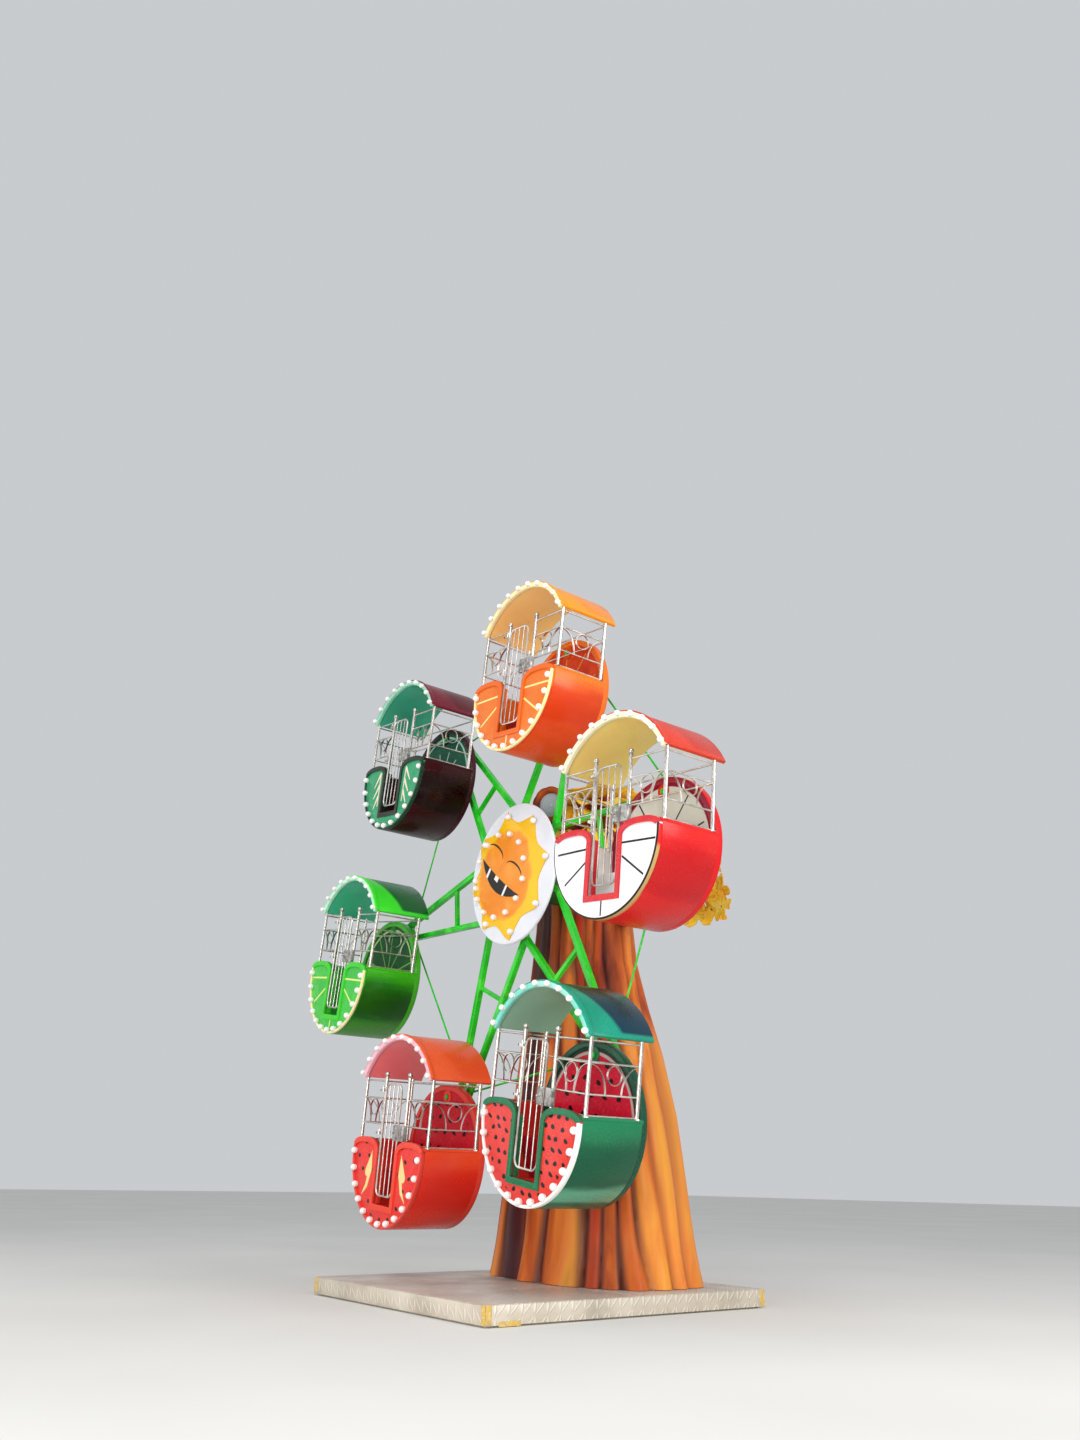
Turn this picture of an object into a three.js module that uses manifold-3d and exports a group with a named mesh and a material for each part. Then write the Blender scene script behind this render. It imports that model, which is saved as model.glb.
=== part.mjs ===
// A small fairground ferris wheel with six fruit cabins, hung in front of a sculpted tree trunk.
// The trunk stands on a low tread-plate platform and carries the axle at its front. Six arms of
// square tube hold one pivot each, and every cabin hangs on its pivot in front of the wheel.
// Millimetres, +X to the right of someone facing the wheel, +Y from the wheel to the trunk, +Z up.
// The origin is on the floor, under the middle of the platform.
import * as THREE from 'three';
import { mergeVertices } from 'three/addons/utils/BufferGeometryUtils.js';
import Module from 'manifold-3d';

const wasm = await Module();
wasm.setup();

// Driving dimensions

const seatGap = 0.3; // air left between two pieces that touch
const runningGap = 0.5; // air left between the faces of a pivot

const platform = { width: 3200, depth: 3400, height: 175 };

const wheel = {
  planeY: -260, // middle of the arms
  hubHeight: 4440,
  pivotRadius: 2670,
  firstArm: 65.8, // degrees from +X to the orange cabin's arm, towards +Z
  tube: 65, // side of the arms' square tube
  halfWidthAtHub: 385,
  hubEnd: 600, // radius at which halfWidthAtHub is measured
  halfWidthAtPivot: 80,
  braceRadius: 1430,
  bossRadius: 105,
  drumRadius: 200,
  tieRod: 24,
  tieRadius: 2610,
};

const disc = { radius: 834, thickness: 36, front: -425 };

const pin = { radius: 28, boreRadius: 31.5, bossRadius: 78 };

const cabin = {
  halfWidth: 760, // of the tub, outside
  centreZ: -620, // middle of the tub's round bottom, measured from the pivot
  wall: 40,
  sideTop: -540,
  lobeTop: -498,
  front: -943, // all Y values are measured from the middle of the arms
  back: -210,
  backWallBack: -150,
  floor: -1180,
  bench: { top: -830, front: -520 },
  slotHalfWidth: 196,
  slotBottom: -1145,
};

const canopy = {
  halfWidth: 775,
  edgeZ: 175,
  topZ: 633,
  thickness: 40,
  front: -910,
  back: -140,
  rim: { proud: 26, front: -935, back: -885 },
};

const rail = {
  post: 36,
  bar: 16,
  cornerX: 740,
  frontY: -870,
  backY: -268,
  frontBarY: -878,
  gatePostX: 258,
  gatePostTop: 165,
  finial: 28,
  levels: [130, -60, -330, -510],
  keep: { x: 206, width: 100, front: -935, back: -885, z: -485, height: 160 }, // takes the gate's latch
};

const gate = {
  halfWidth: 186,
  bottom: -1065,
  top: 105,
  corner: 90,
  tube: 22,
  middleY: -925,
  bars: 4,
  bar: 14,
  hinge: { x: -199, y: -950, radius: 11, height: 30, levels: [-440, 10] },
  latch: { width: 90, depth: 40, height: 160, z: -485 },
};

const trunk = {
  centreY: 810,
  ratio: 0.63, // depth over width
  ribPoints: [0, 0.12, 0.35, 0.65, 0.88], // places across a rib, from its groove on
  groove: { depth: 58, less: 5, swell: 12 }, // depth at the floor, less for each metre up
  bulge: { square: 2, round: 0.9 }, // shape of a rib between its grooves
  flare: { out: 40, height: 500 }, // how the ribs spread at the foot
  stand: 15, // how far a fully swollen rib stands out
  // how the grooves wander: waves round the trunk, size in rib widths, turn for each metre up
  wander: [{ waves: 3, size: 0.2, turn: 1.1 }, { waves: 7, size: 0.13, turn: -2.3 }],
  // how much each rib swells
  swells: [0.4, -0.3, 0.8, 0.1, 0.6, -0.5, 0.9, 0.2, -0.2, 0.7, 0, 0.5, -0.4, 1, 0.3],
  // height, half the width, squareness and sideways shift of each level
  levels: [
    [175.3, 1312, 2.7, -30],
    [500, 1260, 2.7, -35],
    [1150, 1170, 2.7, -40],
    [1800, 1085, 2.7, -55],
    [2450, 972, 2.6, -92],
    [3000, 850, 2.5, -150],
    [3500, 765, 2.4, -200],
    [4000, 715, 2.3, -195],
    [4700, 720, 2.2, -140],
    [5200, 753, 2.2, -110],
    [5480, 640, 2.2, -90],
  ],
};

// Middle line and radii of the two limbs
const limbs = {
  left: { points: [[-250, 880, 4950], [-460, 700, 5490], [-300, 340, 5530]], radii: [270, 240, 230] },
  right: { points: [[300, 810, 4060], [1780, 770, 4000]], radii: [150, 135] },
};

// Leaf stars: their twist, how many points, outer and inner radius, and where they are
const leaves = {
  twist: 0.2,
  crown: { points: 11, outer: 980, inner: 720, squash: 0.8, low: 5380, high: 5480 },
  collar: { points: 13, outer: 1010, inner: 790, squash: 0.76, low: 4860, high: 4960 },
  side: { points: 7, outer: 430, inner: 280, x: 1900, z: 3950, front: -110, back: 40 },
};

const arcSteps = 8; // half the straight pieces in a half-round outline

const housing = { radius: 270, front: -20, back: 620 };

// Fruits in the order of the arms, clockwise from the orange, and the degrees that each cabin hangs
// to the right of upright
const fruits = [
  { name: 'orange', lean: 8.5, tub: 0xe2561c, back: 0xd8421c, canopy: 0xf09a1e },
  { name: 'apple', lean: 5.8, tub: 0xd02a20, back: 0xd9d5c8, canopy: 0xd9422e },
  { name: 'melon', lean: 8.2, tub: 0x2f8c3a, back: 0xa81e2c, canopy: 0x2a9a88 },
  { name: 'strawberry', lean: 4.8, tub: 0xd8322c, back: 0xa01822, canopy: 0xee6a48 },
  { name: 'lime', lean: 9, tub: 0x4faa32, back: 0x1f5a34, canopy: 0x1f7a48 },
  { name: 'plum', lean: 8.4, tub: 0x3c1018, back: 0x1f5a38, canopy: 0x7a1a24 },
];

// Helpers that turn three.js geometry into solids and back

const rad = (degrees) => (degrees * Math.PI) / 180;

function solid(geometry) {
  const bare = geometry.clone();
  bare.deleteAttribute('normal');
  bare.deleteAttribute('uv');
  const merged = mergeVertices(bare, 1e-3);
  const index = merged.index.array;
  const triangles = [];
  for (let i = 0; i < index.length; i += 3) {
    const [a, b, c] = [index[i], index[i + 1], index[i + 2]];
    if (a !== b && b !== c && c !== a) triangles.push(a, b, c);
  }
  const mesh = new wasm.Mesh({
    numProp: 3,
    vertProperties: new Float32Array(merged.attributes.position.array),
    triVerts: new Uint32Array(triangles),
  });
  return new wasm.Manifold(mesh);
}

function geometryOf(body) {
  const mesh = body.getMesh();
  const geometry = new THREE.BufferGeometry();
  geometry.setAttribute('position', new THREE.BufferAttribute(new Float32Array(mesh.vertProperties), 3));
  geometry.setIndex(new THREE.BufferAttribute(new Uint32Array(mesh.triVerts), 1));
  geometry.computeVertexNormals();
  return geometry;
}

const join = (pieces) => pieces.reduce((sum, piece) => sum.add(piece));

function box(x0, x1, y0, y1, z0, z1) {
  const geometry = new THREE.BoxGeometry(x1 - x0, y1 - y0, z1 - z0);
  geometry.translate((x0 + x1) / 2, (y0 + y1) / 2, (z0 + z1) / 2);
  return solid(geometry);
}

// A round bar along Y between two depths
function barY(radius, y0, y1, sides, x = 0, z = 0) {
  const geometry = new THREE.CylinderGeometry(radius, radius, y1 - y0, sides);
  geometry.translate(x, (y0 + y1) / 2, 0);
  geometry.translate(0, 0, z);
  return solid(geometry);
}

// A round bar along Z between two heights
function barZ(radius, z0, z1, sides, x, y) {
  const geometry = new THREE.CylinderGeometry(radius, radius, z1 - z0, sides);
  geometry.rotateX(Math.PI / 2);
  geometry.translate(x, y, (z0 + z1) / 2);
  return solid(geometry);
}

// A flat outline in X and Z, given its thickness along Y
function plate(shape, y0, y1, curveSegments = 12) {
  const geometry = new THREE.ExtrudeGeometry(shape, { depth: y1 - y0, bevelEnabled: false, curveSegments });
  geometry.rotateX(Math.PI / 2);
  geometry.translate(0, y1, 0);
  return solid(geometry);
}

// A square or many-sided bar from one point to another, its section square to the Y axis
function strut(from, to, width, sides) {
  const along = new THREE.Vector3().subVectors(to, from);
  const length = along.length();
  along.normalize();
  const radius = sides === 4 ? width / Math.SQRT2 : width / 2;
  const geometry = new THREE.CylinderGeometry(radius, radius, length, sides);
  if (sides === 4) geometry.rotateY(Math.PI / 4);
  const across = new THREE.Vector3().crossVectors(along, new THREE.Vector3(0, 1, 0)).normalize();
  const third = new THREE.Vector3().crossVectors(across, along);
  geometry.applyMatrix4(new THREE.Matrix4().makeBasis(across, along, third));
  geometry.translate((from.x + to.x) / 2, (from.y + to.y) / 2, (from.z + to.z) / 2);
  return solid(geometry);
}

const object = new THREE.Group();

function place(parent, name, body, color, roughness, metalness) {
  const material = new THREE.MeshStandardMaterial({ color, roughness, metalness });
  const mesh = new THREE.Mesh(geometryOf(body), material);
  mesh.name = name;
  parent.add(mesh);
}

// Platform: a low deck with folded skirts, closed underneath by its own frame

function buildPlatform() {
  const { width, depth, height } = platform;
  const deck = box(-width / 2, width / 2, -depth / 2, depth / 2, 0, height);
  place(object, 'platform', deck, 0xb9bab6, 0.45, 0.8);
}

// Trunk: a round-cornered column with ribs, wide at the foot and swelling at the crown

// Distance from the trunk's middle to its rounded outline in one direction
function outlineRadius(angle, halfWidth, power) {
  const a = Math.abs(Math.cos(angle)) / halfWidth;
  const b = Math.abs(Math.sin(angle)) / (halfWidth * trunk.ratio);
  return (a ** power + b ** power) ** (-1 / power);
}

// Length along the foot's outline, at many directions, so that the ribs come out evenly wide
function outlineLengths(steps) {
  const [, halfWidth, power] = trunk.levels[0];
  const lengths = [0];
  let before = [outlineRadius(0, halfWidth, power), 0];
  for (let i = 1; i <= steps; i += 1) {
    const angle = (2 * Math.PI * i) / steps;
    const radius = outlineRadius(angle, halfWidth, power);
    const here = [radius * Math.cos(angle), radius * Math.sin(angle)];
    lengths.push(lengths[i - 1] + Math.hypot(here[0] - before[0], here[1] - before[1]));
    before = here;
  }
  return lengths;
}

const outlineSteps = 2000;
const lengths = outlineLengths(outlineSteps);

// The direction at a share of the way round the outline
function evenAngle(share) {
  const wanted = share * lengths[outlineSteps];
  const next = lengths.findIndex((length) => length >= wanted);
  return (2 * Math.PI * Math.max(next, 0)) / outlineSteps;
}

// How far the grooves wander sideways with height, in rib widths
function wander(share, z) {
  const wave = ({ waves, size, turn }) => size * Math.sin(2 * Math.PI * waves * share + (turn * z) / 1000);
  return trunk.wander.reduce((sum, each) => sum + wave(each), 0);
}

// How far a point on a rib lies outside the plain outline
function ribRadius(across, swell, z) {
  const { groove, bulge, flare, stand, levels } = trunk;
  const aside = Math.abs(2 * across - 1);
  const rise = (1 - aside ** bulge.square) ** bulge.round;
  const depth = groove.depth - (groove.less * z) / 1000 + groove.swell * swell;
  const low = Math.max(0, 1 - (z - levels[0][0]) / flare.height);
  const spread = flare.out * low ** 2 * (0.5 + swell) + stand * swell;
  return spread * rise - depth * (1 - rise);
}

function trunkSolid(extra) {
  const { ribPoints, swells, levels, centreY } = trunk;
  const around = swells.length * ribPoints.length;
  const corners = [];
  for (const [z, halfWidth, power, shift] of levels) {
    for (let i = 0; i < around; i += 1) {
      const rib = Math.floor(i / ribPoints.length);
      const across = ribPoints[i % ribPoints.length];
      let share = (rib + across) / swells.length;
      for (let pass = 0; pass < 8; pass += 1) share = (rib + across - wander(share, z)) / swells.length;
      const angle = evenAngle(((share % 1) + 1) % 1);
      const radius = outlineRadius(angle, halfWidth, power) + ribRadius(across, swells[rib], z) + extra;
      corners.push(shift + radius * Math.cos(angle), centreY + radius * Math.sin(angle), z);
    }
  }
  const top = levels.length - 1;
  corners.push(levels[0][3], centreY, levels[0][0], levels[top][3], centreY, levels[top][0]);
  const foot = levels.length * around;
  const faces = [];
  for (let i = 0; i < around; i += 1) {
    const next = (i + 1) % around;
    faces.push(foot, next, i, foot + 1, top * around + i, top * around + next);
    for (let j = 0; j < top; j += 1) {
      const low = j * around;
      const high = low + around;
      faces.push(low + i, low + next, high + next, low + i, high + next, high + i);
    }
  }
  const geometry = new THREE.BufferGeometry();
  geometry.setAttribute('position', new THREE.BufferAttribute(new Float32Array(corners), 3));
  geometry.setIndex(faces);
  return solid(geometry);
}

// A limb along a bent line, with a ball at each bend
function limb({ points, radii }, extra = 0) {
  const stops = points.map((point) => new THREE.Vector3(...point));
  const pieces = [];
  for (let i = 1; i < stops.length; i += 1) {
    const along = new THREE.Vector3().subVectors(stops[i], stops[i - 1]);
    const length = along.length() + 2 * extra;
    const geometry = new THREE.CylinderGeometry(radii[i] + extra, radii[i - 1] + extra, length, 12);
    const middle = new THREE.Vector3().addVectors(stops[i], stops[i - 1]).multiplyScalar(0.5);
    const turn = new THREE.Quaternion().setFromUnitVectors(new THREE.Vector3(0, 1, 0), along.normalize());
    geometry.applyQuaternion(turn);
    geometry.translate(middle.x, middle.y, middle.z);
    pieces.push(solid(geometry));
    if (i < stops.length - 1) {
      const ball = new THREE.SphereGeometry(radii[i] + extra, 12, 8);
      ball.translate(stops[i].x, stops[i].y, stops[i].z);
      pieces.push(solid(ball));
    }
  }
  return join(pieces);
}

// A ring or cluster of pointed leaves, seen from above or from the front
function leafStar({ points, outer, inner }) {
  const shape = new THREE.Shape();
  for (let i = 0; i < points * 2; i += 1) {
    const angle = leaves.twist + (i * Math.PI) / points;
    const radius = i % 2 === 0 ? outer : inner;
    const x = radius * Math.cos(angle);
    const y = radius * Math.sin(angle);
    if (i === 0) shape.moveTo(x, y);
    else shape.lineTo(x, y);
  }
  shape.closePath();
  return shape;
}

function buildTree() {
  const bark = 0xb4551e;
  const leaf = 0xf0b428;
  const wide = trunkSolid(seatGap + 0.2);
  const bearing = barY(housing.radius, housing.front, housing.back, 24, 0, wheel.hubHeight);
  const pocket = barY(housing.radius + seatGap, housing.front, housing.back + seatGap, 24, 0, wheel.hubHeight);
  place(object, 'trunk', trunkSolid(0).subtract(pocket), bark, 0.6, 0);
  place(object, 'bearing_housing', bearing, 0x2f6b32, 0.5, 0.3);

  const y = trunk.centreY;
  place(object, 'limb_left', limb(limbs.left).subtract(wide), bark, 0.6, 0);
  place(object, 'limb_right', limb(limbs.right).subtract(wide), bark, 0.6, 0);

  const leftClear = limb(limbs.left, seatGap);
  for (const [name, star] of [['crown_leaves', leaves.crown], ['collar_leaves', leaves.collar]]) {
    const shape = leafStar(star);
    const ring = new THREE.ExtrudeGeometry(shape, { depth: star.high - star.low, bevelEnabled: false });
    ring.scale(1, star.squash, 1);
    ring.translate(trunk.levels.at(-2)[3], y, star.low);
    place(object, name, solid(ring).subtract(wide).subtract(leftClear), leaf, 0.5, 0);
  }

  const { side } = leaves;
  const bunch = plate(leafStar(side), y + side.front, y + side.back);
  const rightClear = limb(limbs.right, seatGap);
  place(object, 'side_leaves', bunch.translate([side.x, 0, side.z]).subtract(rightClear), leaf, 0.5, 0);
}

// Wheel: a hub with radial struts, six A-shaped arms, a ring of tie rods and the sun disc

function onWheel(radius, degrees, y = 0) {
  const angle = rad(degrees);
  return new THREE.Vector3(radius * Math.cos(angle), y, radius * Math.sin(angle));
}

const armAngle = (i) => wheel.firstArm - 60 * i;
const armSlope = (wheel.halfWidthAtHub - wheel.halfWidthAtPivot) / (wheel.pivotRadius - wheel.hubEnd);
const armHalfWidth = (radius) => wheel.halfWidthAtHub - armSlope * (radius - wheel.hubEnd);
const meeting = (wheel.halfWidthAtHub + armSlope * wheel.hubEnd) / (Math.tan(rad(30)) + armSlope);
const meetingRadius = meeting / Math.cos(rad(30));

function buildHub(spin) {
  const { tube, drumRadius } = wheel;
  const back = housing.front - runningGap - wheel.planeY;
  const front = disc.front + disc.thickness + seatGap - wheel.planeY;
  const pieces = [barY(drumRadius, front, back, 24), barY(drumRadius + 90, -tube / 2, tube / 2, 24)];
  for (let i = 0; i < 6; i += 1) {
    const angle = armAngle(i) - 30;
    pieces.push(strut(onWheel(drumRadius, angle), onWheel(meetingRadius, angle), tube, 4));
  }
  place(spin, 'wheel_hub', join(pieces), 0x2f9a35, 0.4, 0.2);
}

// One arm along +X, cut to its own sixth of the wheel
function armSolid() {
  const { tube, pivotRadius, bossRadius, braceRadius } = wheel;
  const start = meeting - 120;
  const pieces = [];
  for (const side of [-1, 1]) {
    const from = new THREE.Vector3(start, 0, side * armHalfWidth(start));
    const to = new THREE.Vector3(pivotRadius, 0, side * armHalfWidth(pivotRadius));
    pieces.push(strut(from, to, tube, 4));
  }
  const halfBrace = armHalfWidth(braceRadius);
  const brace = [new THREE.Vector3(braceRadius, 0, -halfBrace), new THREE.Vector3(braceRadius, 0, halfBrace)];
  pieces.push(strut(brace[0], brace[1], tube * 0.7, 4));
  const end = barY(bossRadius, -tube / 2, tube / 2, 20, pivotRadius);
  pieces.push(end);
  const clip = new THREE.Shape();
  const far = pivotRadius + 400;
  const near = 2 * seatGap;
  clip.moveTo(near, 0);
  clip.lineTo(far, -(far - near) * Math.tan(rad(30)));
  clip.lineTo(far, (far - near) * Math.tan(rad(30)));
  clip.closePath();
  const pinFront = cabin.back - 30;
  const arm = join(pieces).intersect(plate(clip, -tube, tube));
  const hubCut = barY(wheel.drumRadius + 90 + seatGap, -tube, tube, 24);
  const stub = barY(pin.radius, pinFront, 0, 12, pivotRadius);
  return arm.subtract(hubCut).add(stub);
}

function buildArms(spin) {
  const arm = armSolid();
  fruits.forEach((fruit, i) => {
    const turned = arm.rotate([0, -armAngle(i), 0]);
    let clear = turned;
    for (const side of [-1, 1]) {
      const angle = armAngle(i) + 30 * side;
      const cut = wheel.tube + 2 * seatGap;
      const strutEnd = onWheel(meetingRadius + seatGap, angle);
      clear = clear.subtract(strut(onWheel(wheel.drumRadius, angle), strutEnd, cut, 4));
    }
    place(spin, `arm_${fruit.name}`, clear, 0x35b53a, 0.35, 0.2);
  });
}

function buildTies(spin) {
  const collar = wheel.tieRod / 2 + 4;
  const y = wheel.tube / 2 + seatGap + collar;
  const pieces = [];
  for (let i = 0; i < 6; i += 1) {
    const from = onWheel(wheel.tieRadius, armAngle(i), y);
    const to = onWheel(wheel.tieRadius, armAngle(i + 1), y);
    pieces.push(strut(from, to, wheel.tieRod, 6));
    pieces.push(barY(52, y - collar, y + collar, 8, from.x, from.z));
  }
  place(spin, 'tie_ring', join(pieces), 0x2f9a35, 0.4, 0.2);
}

function buildDisc(spin) {
  const y = disc.front - wheel.planeY;
  const body = barY(disc.radius, y, y + disc.thickness, 48);
  place(spin, 'sun_disc', body, 0xf0a030, 0.5, 0);
}

function buildWheel() {
  const spin = new THREE.Group();
  spin.position.set(0, wheel.planeY, wheel.hubHeight);
  object.add(spin);
  buildHub(spin);
  buildArms(spin);
  buildTies(spin);
  buildDisc(spin);
}

// Cabins: one set of solids, placed six times

// The tub's round-bottomed outline, inset by a wall and ended at a height
function tubOutline(inset, top) {
  const radius = cabin.halfWidth - inset;
  const shape = new THREE.Shape();
  shape.moveTo(-radius, top);
  shape.lineTo(-radius, cabin.centreZ);
  shape.absarc(0, cabin.centreZ, radius, Math.PI, 2 * Math.PI, false);
  shape.lineTo(radius, top);
  shape.closePath();
  return shape;
}

function tubSolid() {
  const { halfWidth, wall, front, back, floor, sideTop, lobeTop, bench, slotHalfWidth, slotBottom } = cabin;
  const outside = plate(tubOutline(0, sideTop), front, back, arcSteps);
  const inside = plate(tubOutline(wall, sideTop + 100), front + wall, back + 10, arcSteps);
  const room = inside.subtract(box(-halfWidth, halfWidth, front, back + 20, -1500, floor));
  const shell = outside.subtract(room);

  const lobes = new THREE.Shape();
  lobes.moveTo(-halfWidth, sideTop - 5);
  lobes.quadraticCurveTo(-halfWidth * 0.8, lobeTop + 40, -slotHalfWidth, lobeTop - 30);
  lobes.lineTo(slotHalfWidth, lobeTop - 30);
  lobes.quadraticCurveTo(halfWidth * 0.8, lobeTop + 40, halfWidth, sideTop - 5);
  lobes.closePath();
  const slot = box(-slotHalfWidth, slotHalfWidth, front - 10, front + wall + 1, slotBottom, 0);
  const seat = box(-halfWidth + wall, halfWidth - wall, bench.front, back, floor - 5, bench.top);
  const seatInTub = seat.intersect(plate(tubOutline(wall / 2, sideTop), bench.front, back, arcSteps));
  return shell.add(plate(lobes, front, front + wall, 3)).subtract(slot).add(seatInTub);
}

function backWallSolid() {
  const { halfWidth, centreZ, back, backWallBack } = cabin;
  const wall = barY(halfWidth, back + seatGap, backWallBack, 4 * arcSteps, 0, centreZ);
  const bossBack = -wheel.tube / 2 - runningGap;
  const boss = barY(pin.bossRadius, back - 15, bossBack, 12);
  const bore = barY(pin.boreRadius, back - 100, 0, 12);
  return wall.add(boss).subtract(bore);
}

function canopySolid() {
  const rise = canopy.topZ - canopy.edgeZ;
  const radius = (canopy.halfWidth ** 2 + rise ** 2) / (2 * rise);
  const centre = canopy.topZ - radius;
  const outerAngle = Math.asin((canopy.edgeZ - centre) / radius);
  const innerRadius = radius - canopy.thickness;
  const innerAngle = Math.asin((canopy.edgeZ - centre) / innerRadius);
  const shape = new THREE.Shape();
  shape.absarc(0, centre, radius, outerAngle, Math.PI - outerAngle, false);
  shape.absarc(0, centre, innerRadius, Math.PI - innerAngle, innerAngle, true);
  shape.closePath();
  const shell = plate(shape, canopy.front, canopy.back, arcSteps);
  const { rim } = canopy;
  const hoop = new THREE.Shape();
  const hoopRadius = radius + rim.proud;
  const hoopAngle = Math.asin((canopy.edgeZ - centre) / hoopRadius);
  hoop.absarc(0, centre, hoopRadius, hoopAngle, Math.PI - hoopAngle, false);
  hoop.absarc(0, centre, innerRadius, Math.PI - innerAngle, innerAngle, true);
  hoop.closePath();
  return shell.add(plate(hoop, rim.front, rim.back, arcSteps));
}

function frameSolid() {
  const { post, bar, cornerX, frontY, backY, frontBarY, gatePostX, gatePostTop, finial, levels } = rail;
  const h = post / 2;
  const b = bar / 2;
  const foot = cabin.sideTop + seatGap;
  const head = canopy.edgeZ - seatGap;
  const pieces = [];
  for (const side of [-1, 1]) {
    for (const y of [frontY, backY]) {
      const x = side * cornerX;
      pieces.push(box(x - h, x + h, y - h, y + h, foot, head));
    }
    const gateY = cabin.front + cabin.wall + seatGap + h;
    const gx = side * gatePostX;
    pieces.push(box(gx - h, gx + h, gateY - h, gateY + h, cabin.floor + seatGap, gatePostTop));
    const ball = new THREE.SphereGeometry(finial, 6, 4);
    ball.rotateX(Math.PI / 2);
    ball.translate(gx, gateY, gatePostTop + finial * 0.7);
    pieces.push(solid(ball));
    for (const z of levels) {
      const [x0, x1] = side < 0 ? [-cornerX, -gatePostX] : [gatePostX, cornerX];
      pieces.push(box(x0, x1, frontBarY - b, frontBarY + b, z - b, z + b));
      pieces.push(box(side * cornerX - b, side * cornerX + b, frontY, backY, z - b, z + b));
    }
  }
  for (const z of levels.slice(0, 2)) pieces.push(box(-cornerX, cornerX, backY - b, backY + b, z - b, z + b));

  const { x, width, front, back, z: low, height } = rail.keep;
  pieces.push(box(x, x + width, front, back, low, low + height));

  const { hinge } = gate;
  for (const z of hinge.levels) {
    const y = cabin.front + cabin.wall;
    pieces.push(box(-gatePostX, hinge.x, hinge.y, y + 10, z, z + hinge.height));
    pieces.push(barZ(hinge.radius, z, z + hinge.height, 6, hinge.x, hinge.y));
  }
  return join(pieces);
}

// A gate outline with round corners, inset from the gate's outer size
function gateOutline(inset) {
  const x = gate.halfWidth - inset;
  const low = gate.bottom + inset;
  const high = gate.top - inset;
  const r = gate.corner - inset;
  const shape = new THREE.Shape();
  shape.moveTo(-x + r, low);
  shape.lineTo(x - r, low);
  shape.absarc(x - r, low + r, r, -Math.PI / 2, 0, false);
  shape.lineTo(x, high - r);
  shape.absarc(x - r, high - r, r, 0, Math.PI / 2, false);
  shape.lineTo(-x + r, high);
  shape.absarc(-x + r, high - r, r, Math.PI / 2, Math.PI, false);
  shape.lineTo(-x, low + r);
  shape.absarc(-x + r, low + r, r, Math.PI, 1.5 * Math.PI, false);
  shape.closePath();
  return shape;
}

function gateSolid() {
  const { halfWidth, bottom, top, tube, middleY, bars, bar, hinge, latch } = gate;
  const y0 = middleY - tube / 2;
  const y1 = middleY + tube / 2;
  const ring = plate(gateOutline(0), y0, y1, 2).subtract(plate(gateOutline(tube), y0 - 5, y1 + 5, 2));
  const pieces = [ring];
  for (let i = 1; i <= bars; i += 1) {
    const x = -halfWidth + (2 * halfWidth * i) / (bars + 1);
    pieces.push(box(x - bar / 2, x + bar / 2, middleY - bar / 2, middleY + bar / 2, bottom + tube / 2, top - tube / 2));
  }
  for (const z of hinge.levels) {
    const z0 = z + hinge.height + seatGap;
    const z1 = z0 + hinge.height;
    pieces.push(barZ(hinge.radius, z0, z1, 6, hinge.x, hinge.y));
    pieces.push(box(hinge.x, -halfWidth + tube / 2, hinge.y - 4, middleY, z0, z1));
  }
  const x = halfWidth - latch.width;
  const boxFront = middleY - latch.depth / 2;
  pieces.push(box(x, halfWidth - 5, boxFront, boxFront + latch.depth, latch.z, latch.z + latch.height));
  return join(pieces);
}

function buildCabins() {
  const tub = tubSolid();
  const back = backWallSolid();
  const frame = frameSolid();
  const roof = canopySolid();
  const door = gateSolid();
  fruits.forEach((fruit, i) => {
    const hanging = new THREE.Group();
    const at = onWheel(wheel.pivotRadius, armAngle(i));
    hanging.position.set(at.x, wheel.planeY, wheel.hubHeight + at.z);
    hanging.rotation.y = rad(fruit.lean);
    object.add(hanging);
    place(hanging, `${fruit.name}_tub`, tub, fruit.tub, 0.3, 0);
    place(hanging, `${fruit.name}_back`, back, fruit.back, 0.35, 0);
    place(hanging, `${fruit.name}_frame`, frame, 0xc8ccce, 0.25, 1);
    place(hanging, `${fruit.name}_canopy`, roof, fruit.canopy, 0.4, 0);
    place(hanging, `${fruit.name}_gate`, door, 0xc8ccce, 0.25, 1);
  });
}

buildPlatform();
buildTree();
buildWheel();
buildCabins();
object.updateMatrixWorld(true);

export default object;
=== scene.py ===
"""The looks of a small ferris wheel with fruit cabins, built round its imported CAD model.

Lengths are metres in the CAD model's own frame: +X to the right of someone who faces the wheel,
+Y from the wheel back to the trunk, +Z up, with the origin on the floor under the platform.
"""

from __future__ import annotations

import bisect
import logging
import random
from collections.abc import Callable, Sequence
from dataclasses import dataclass, field
from enum import Enum
from math import acos, asin, atan2, cos, hypot, pi, radians, sin, sqrt, tau

import bmesh
import bpy
from mathutils import Matrix, Vector


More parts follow.
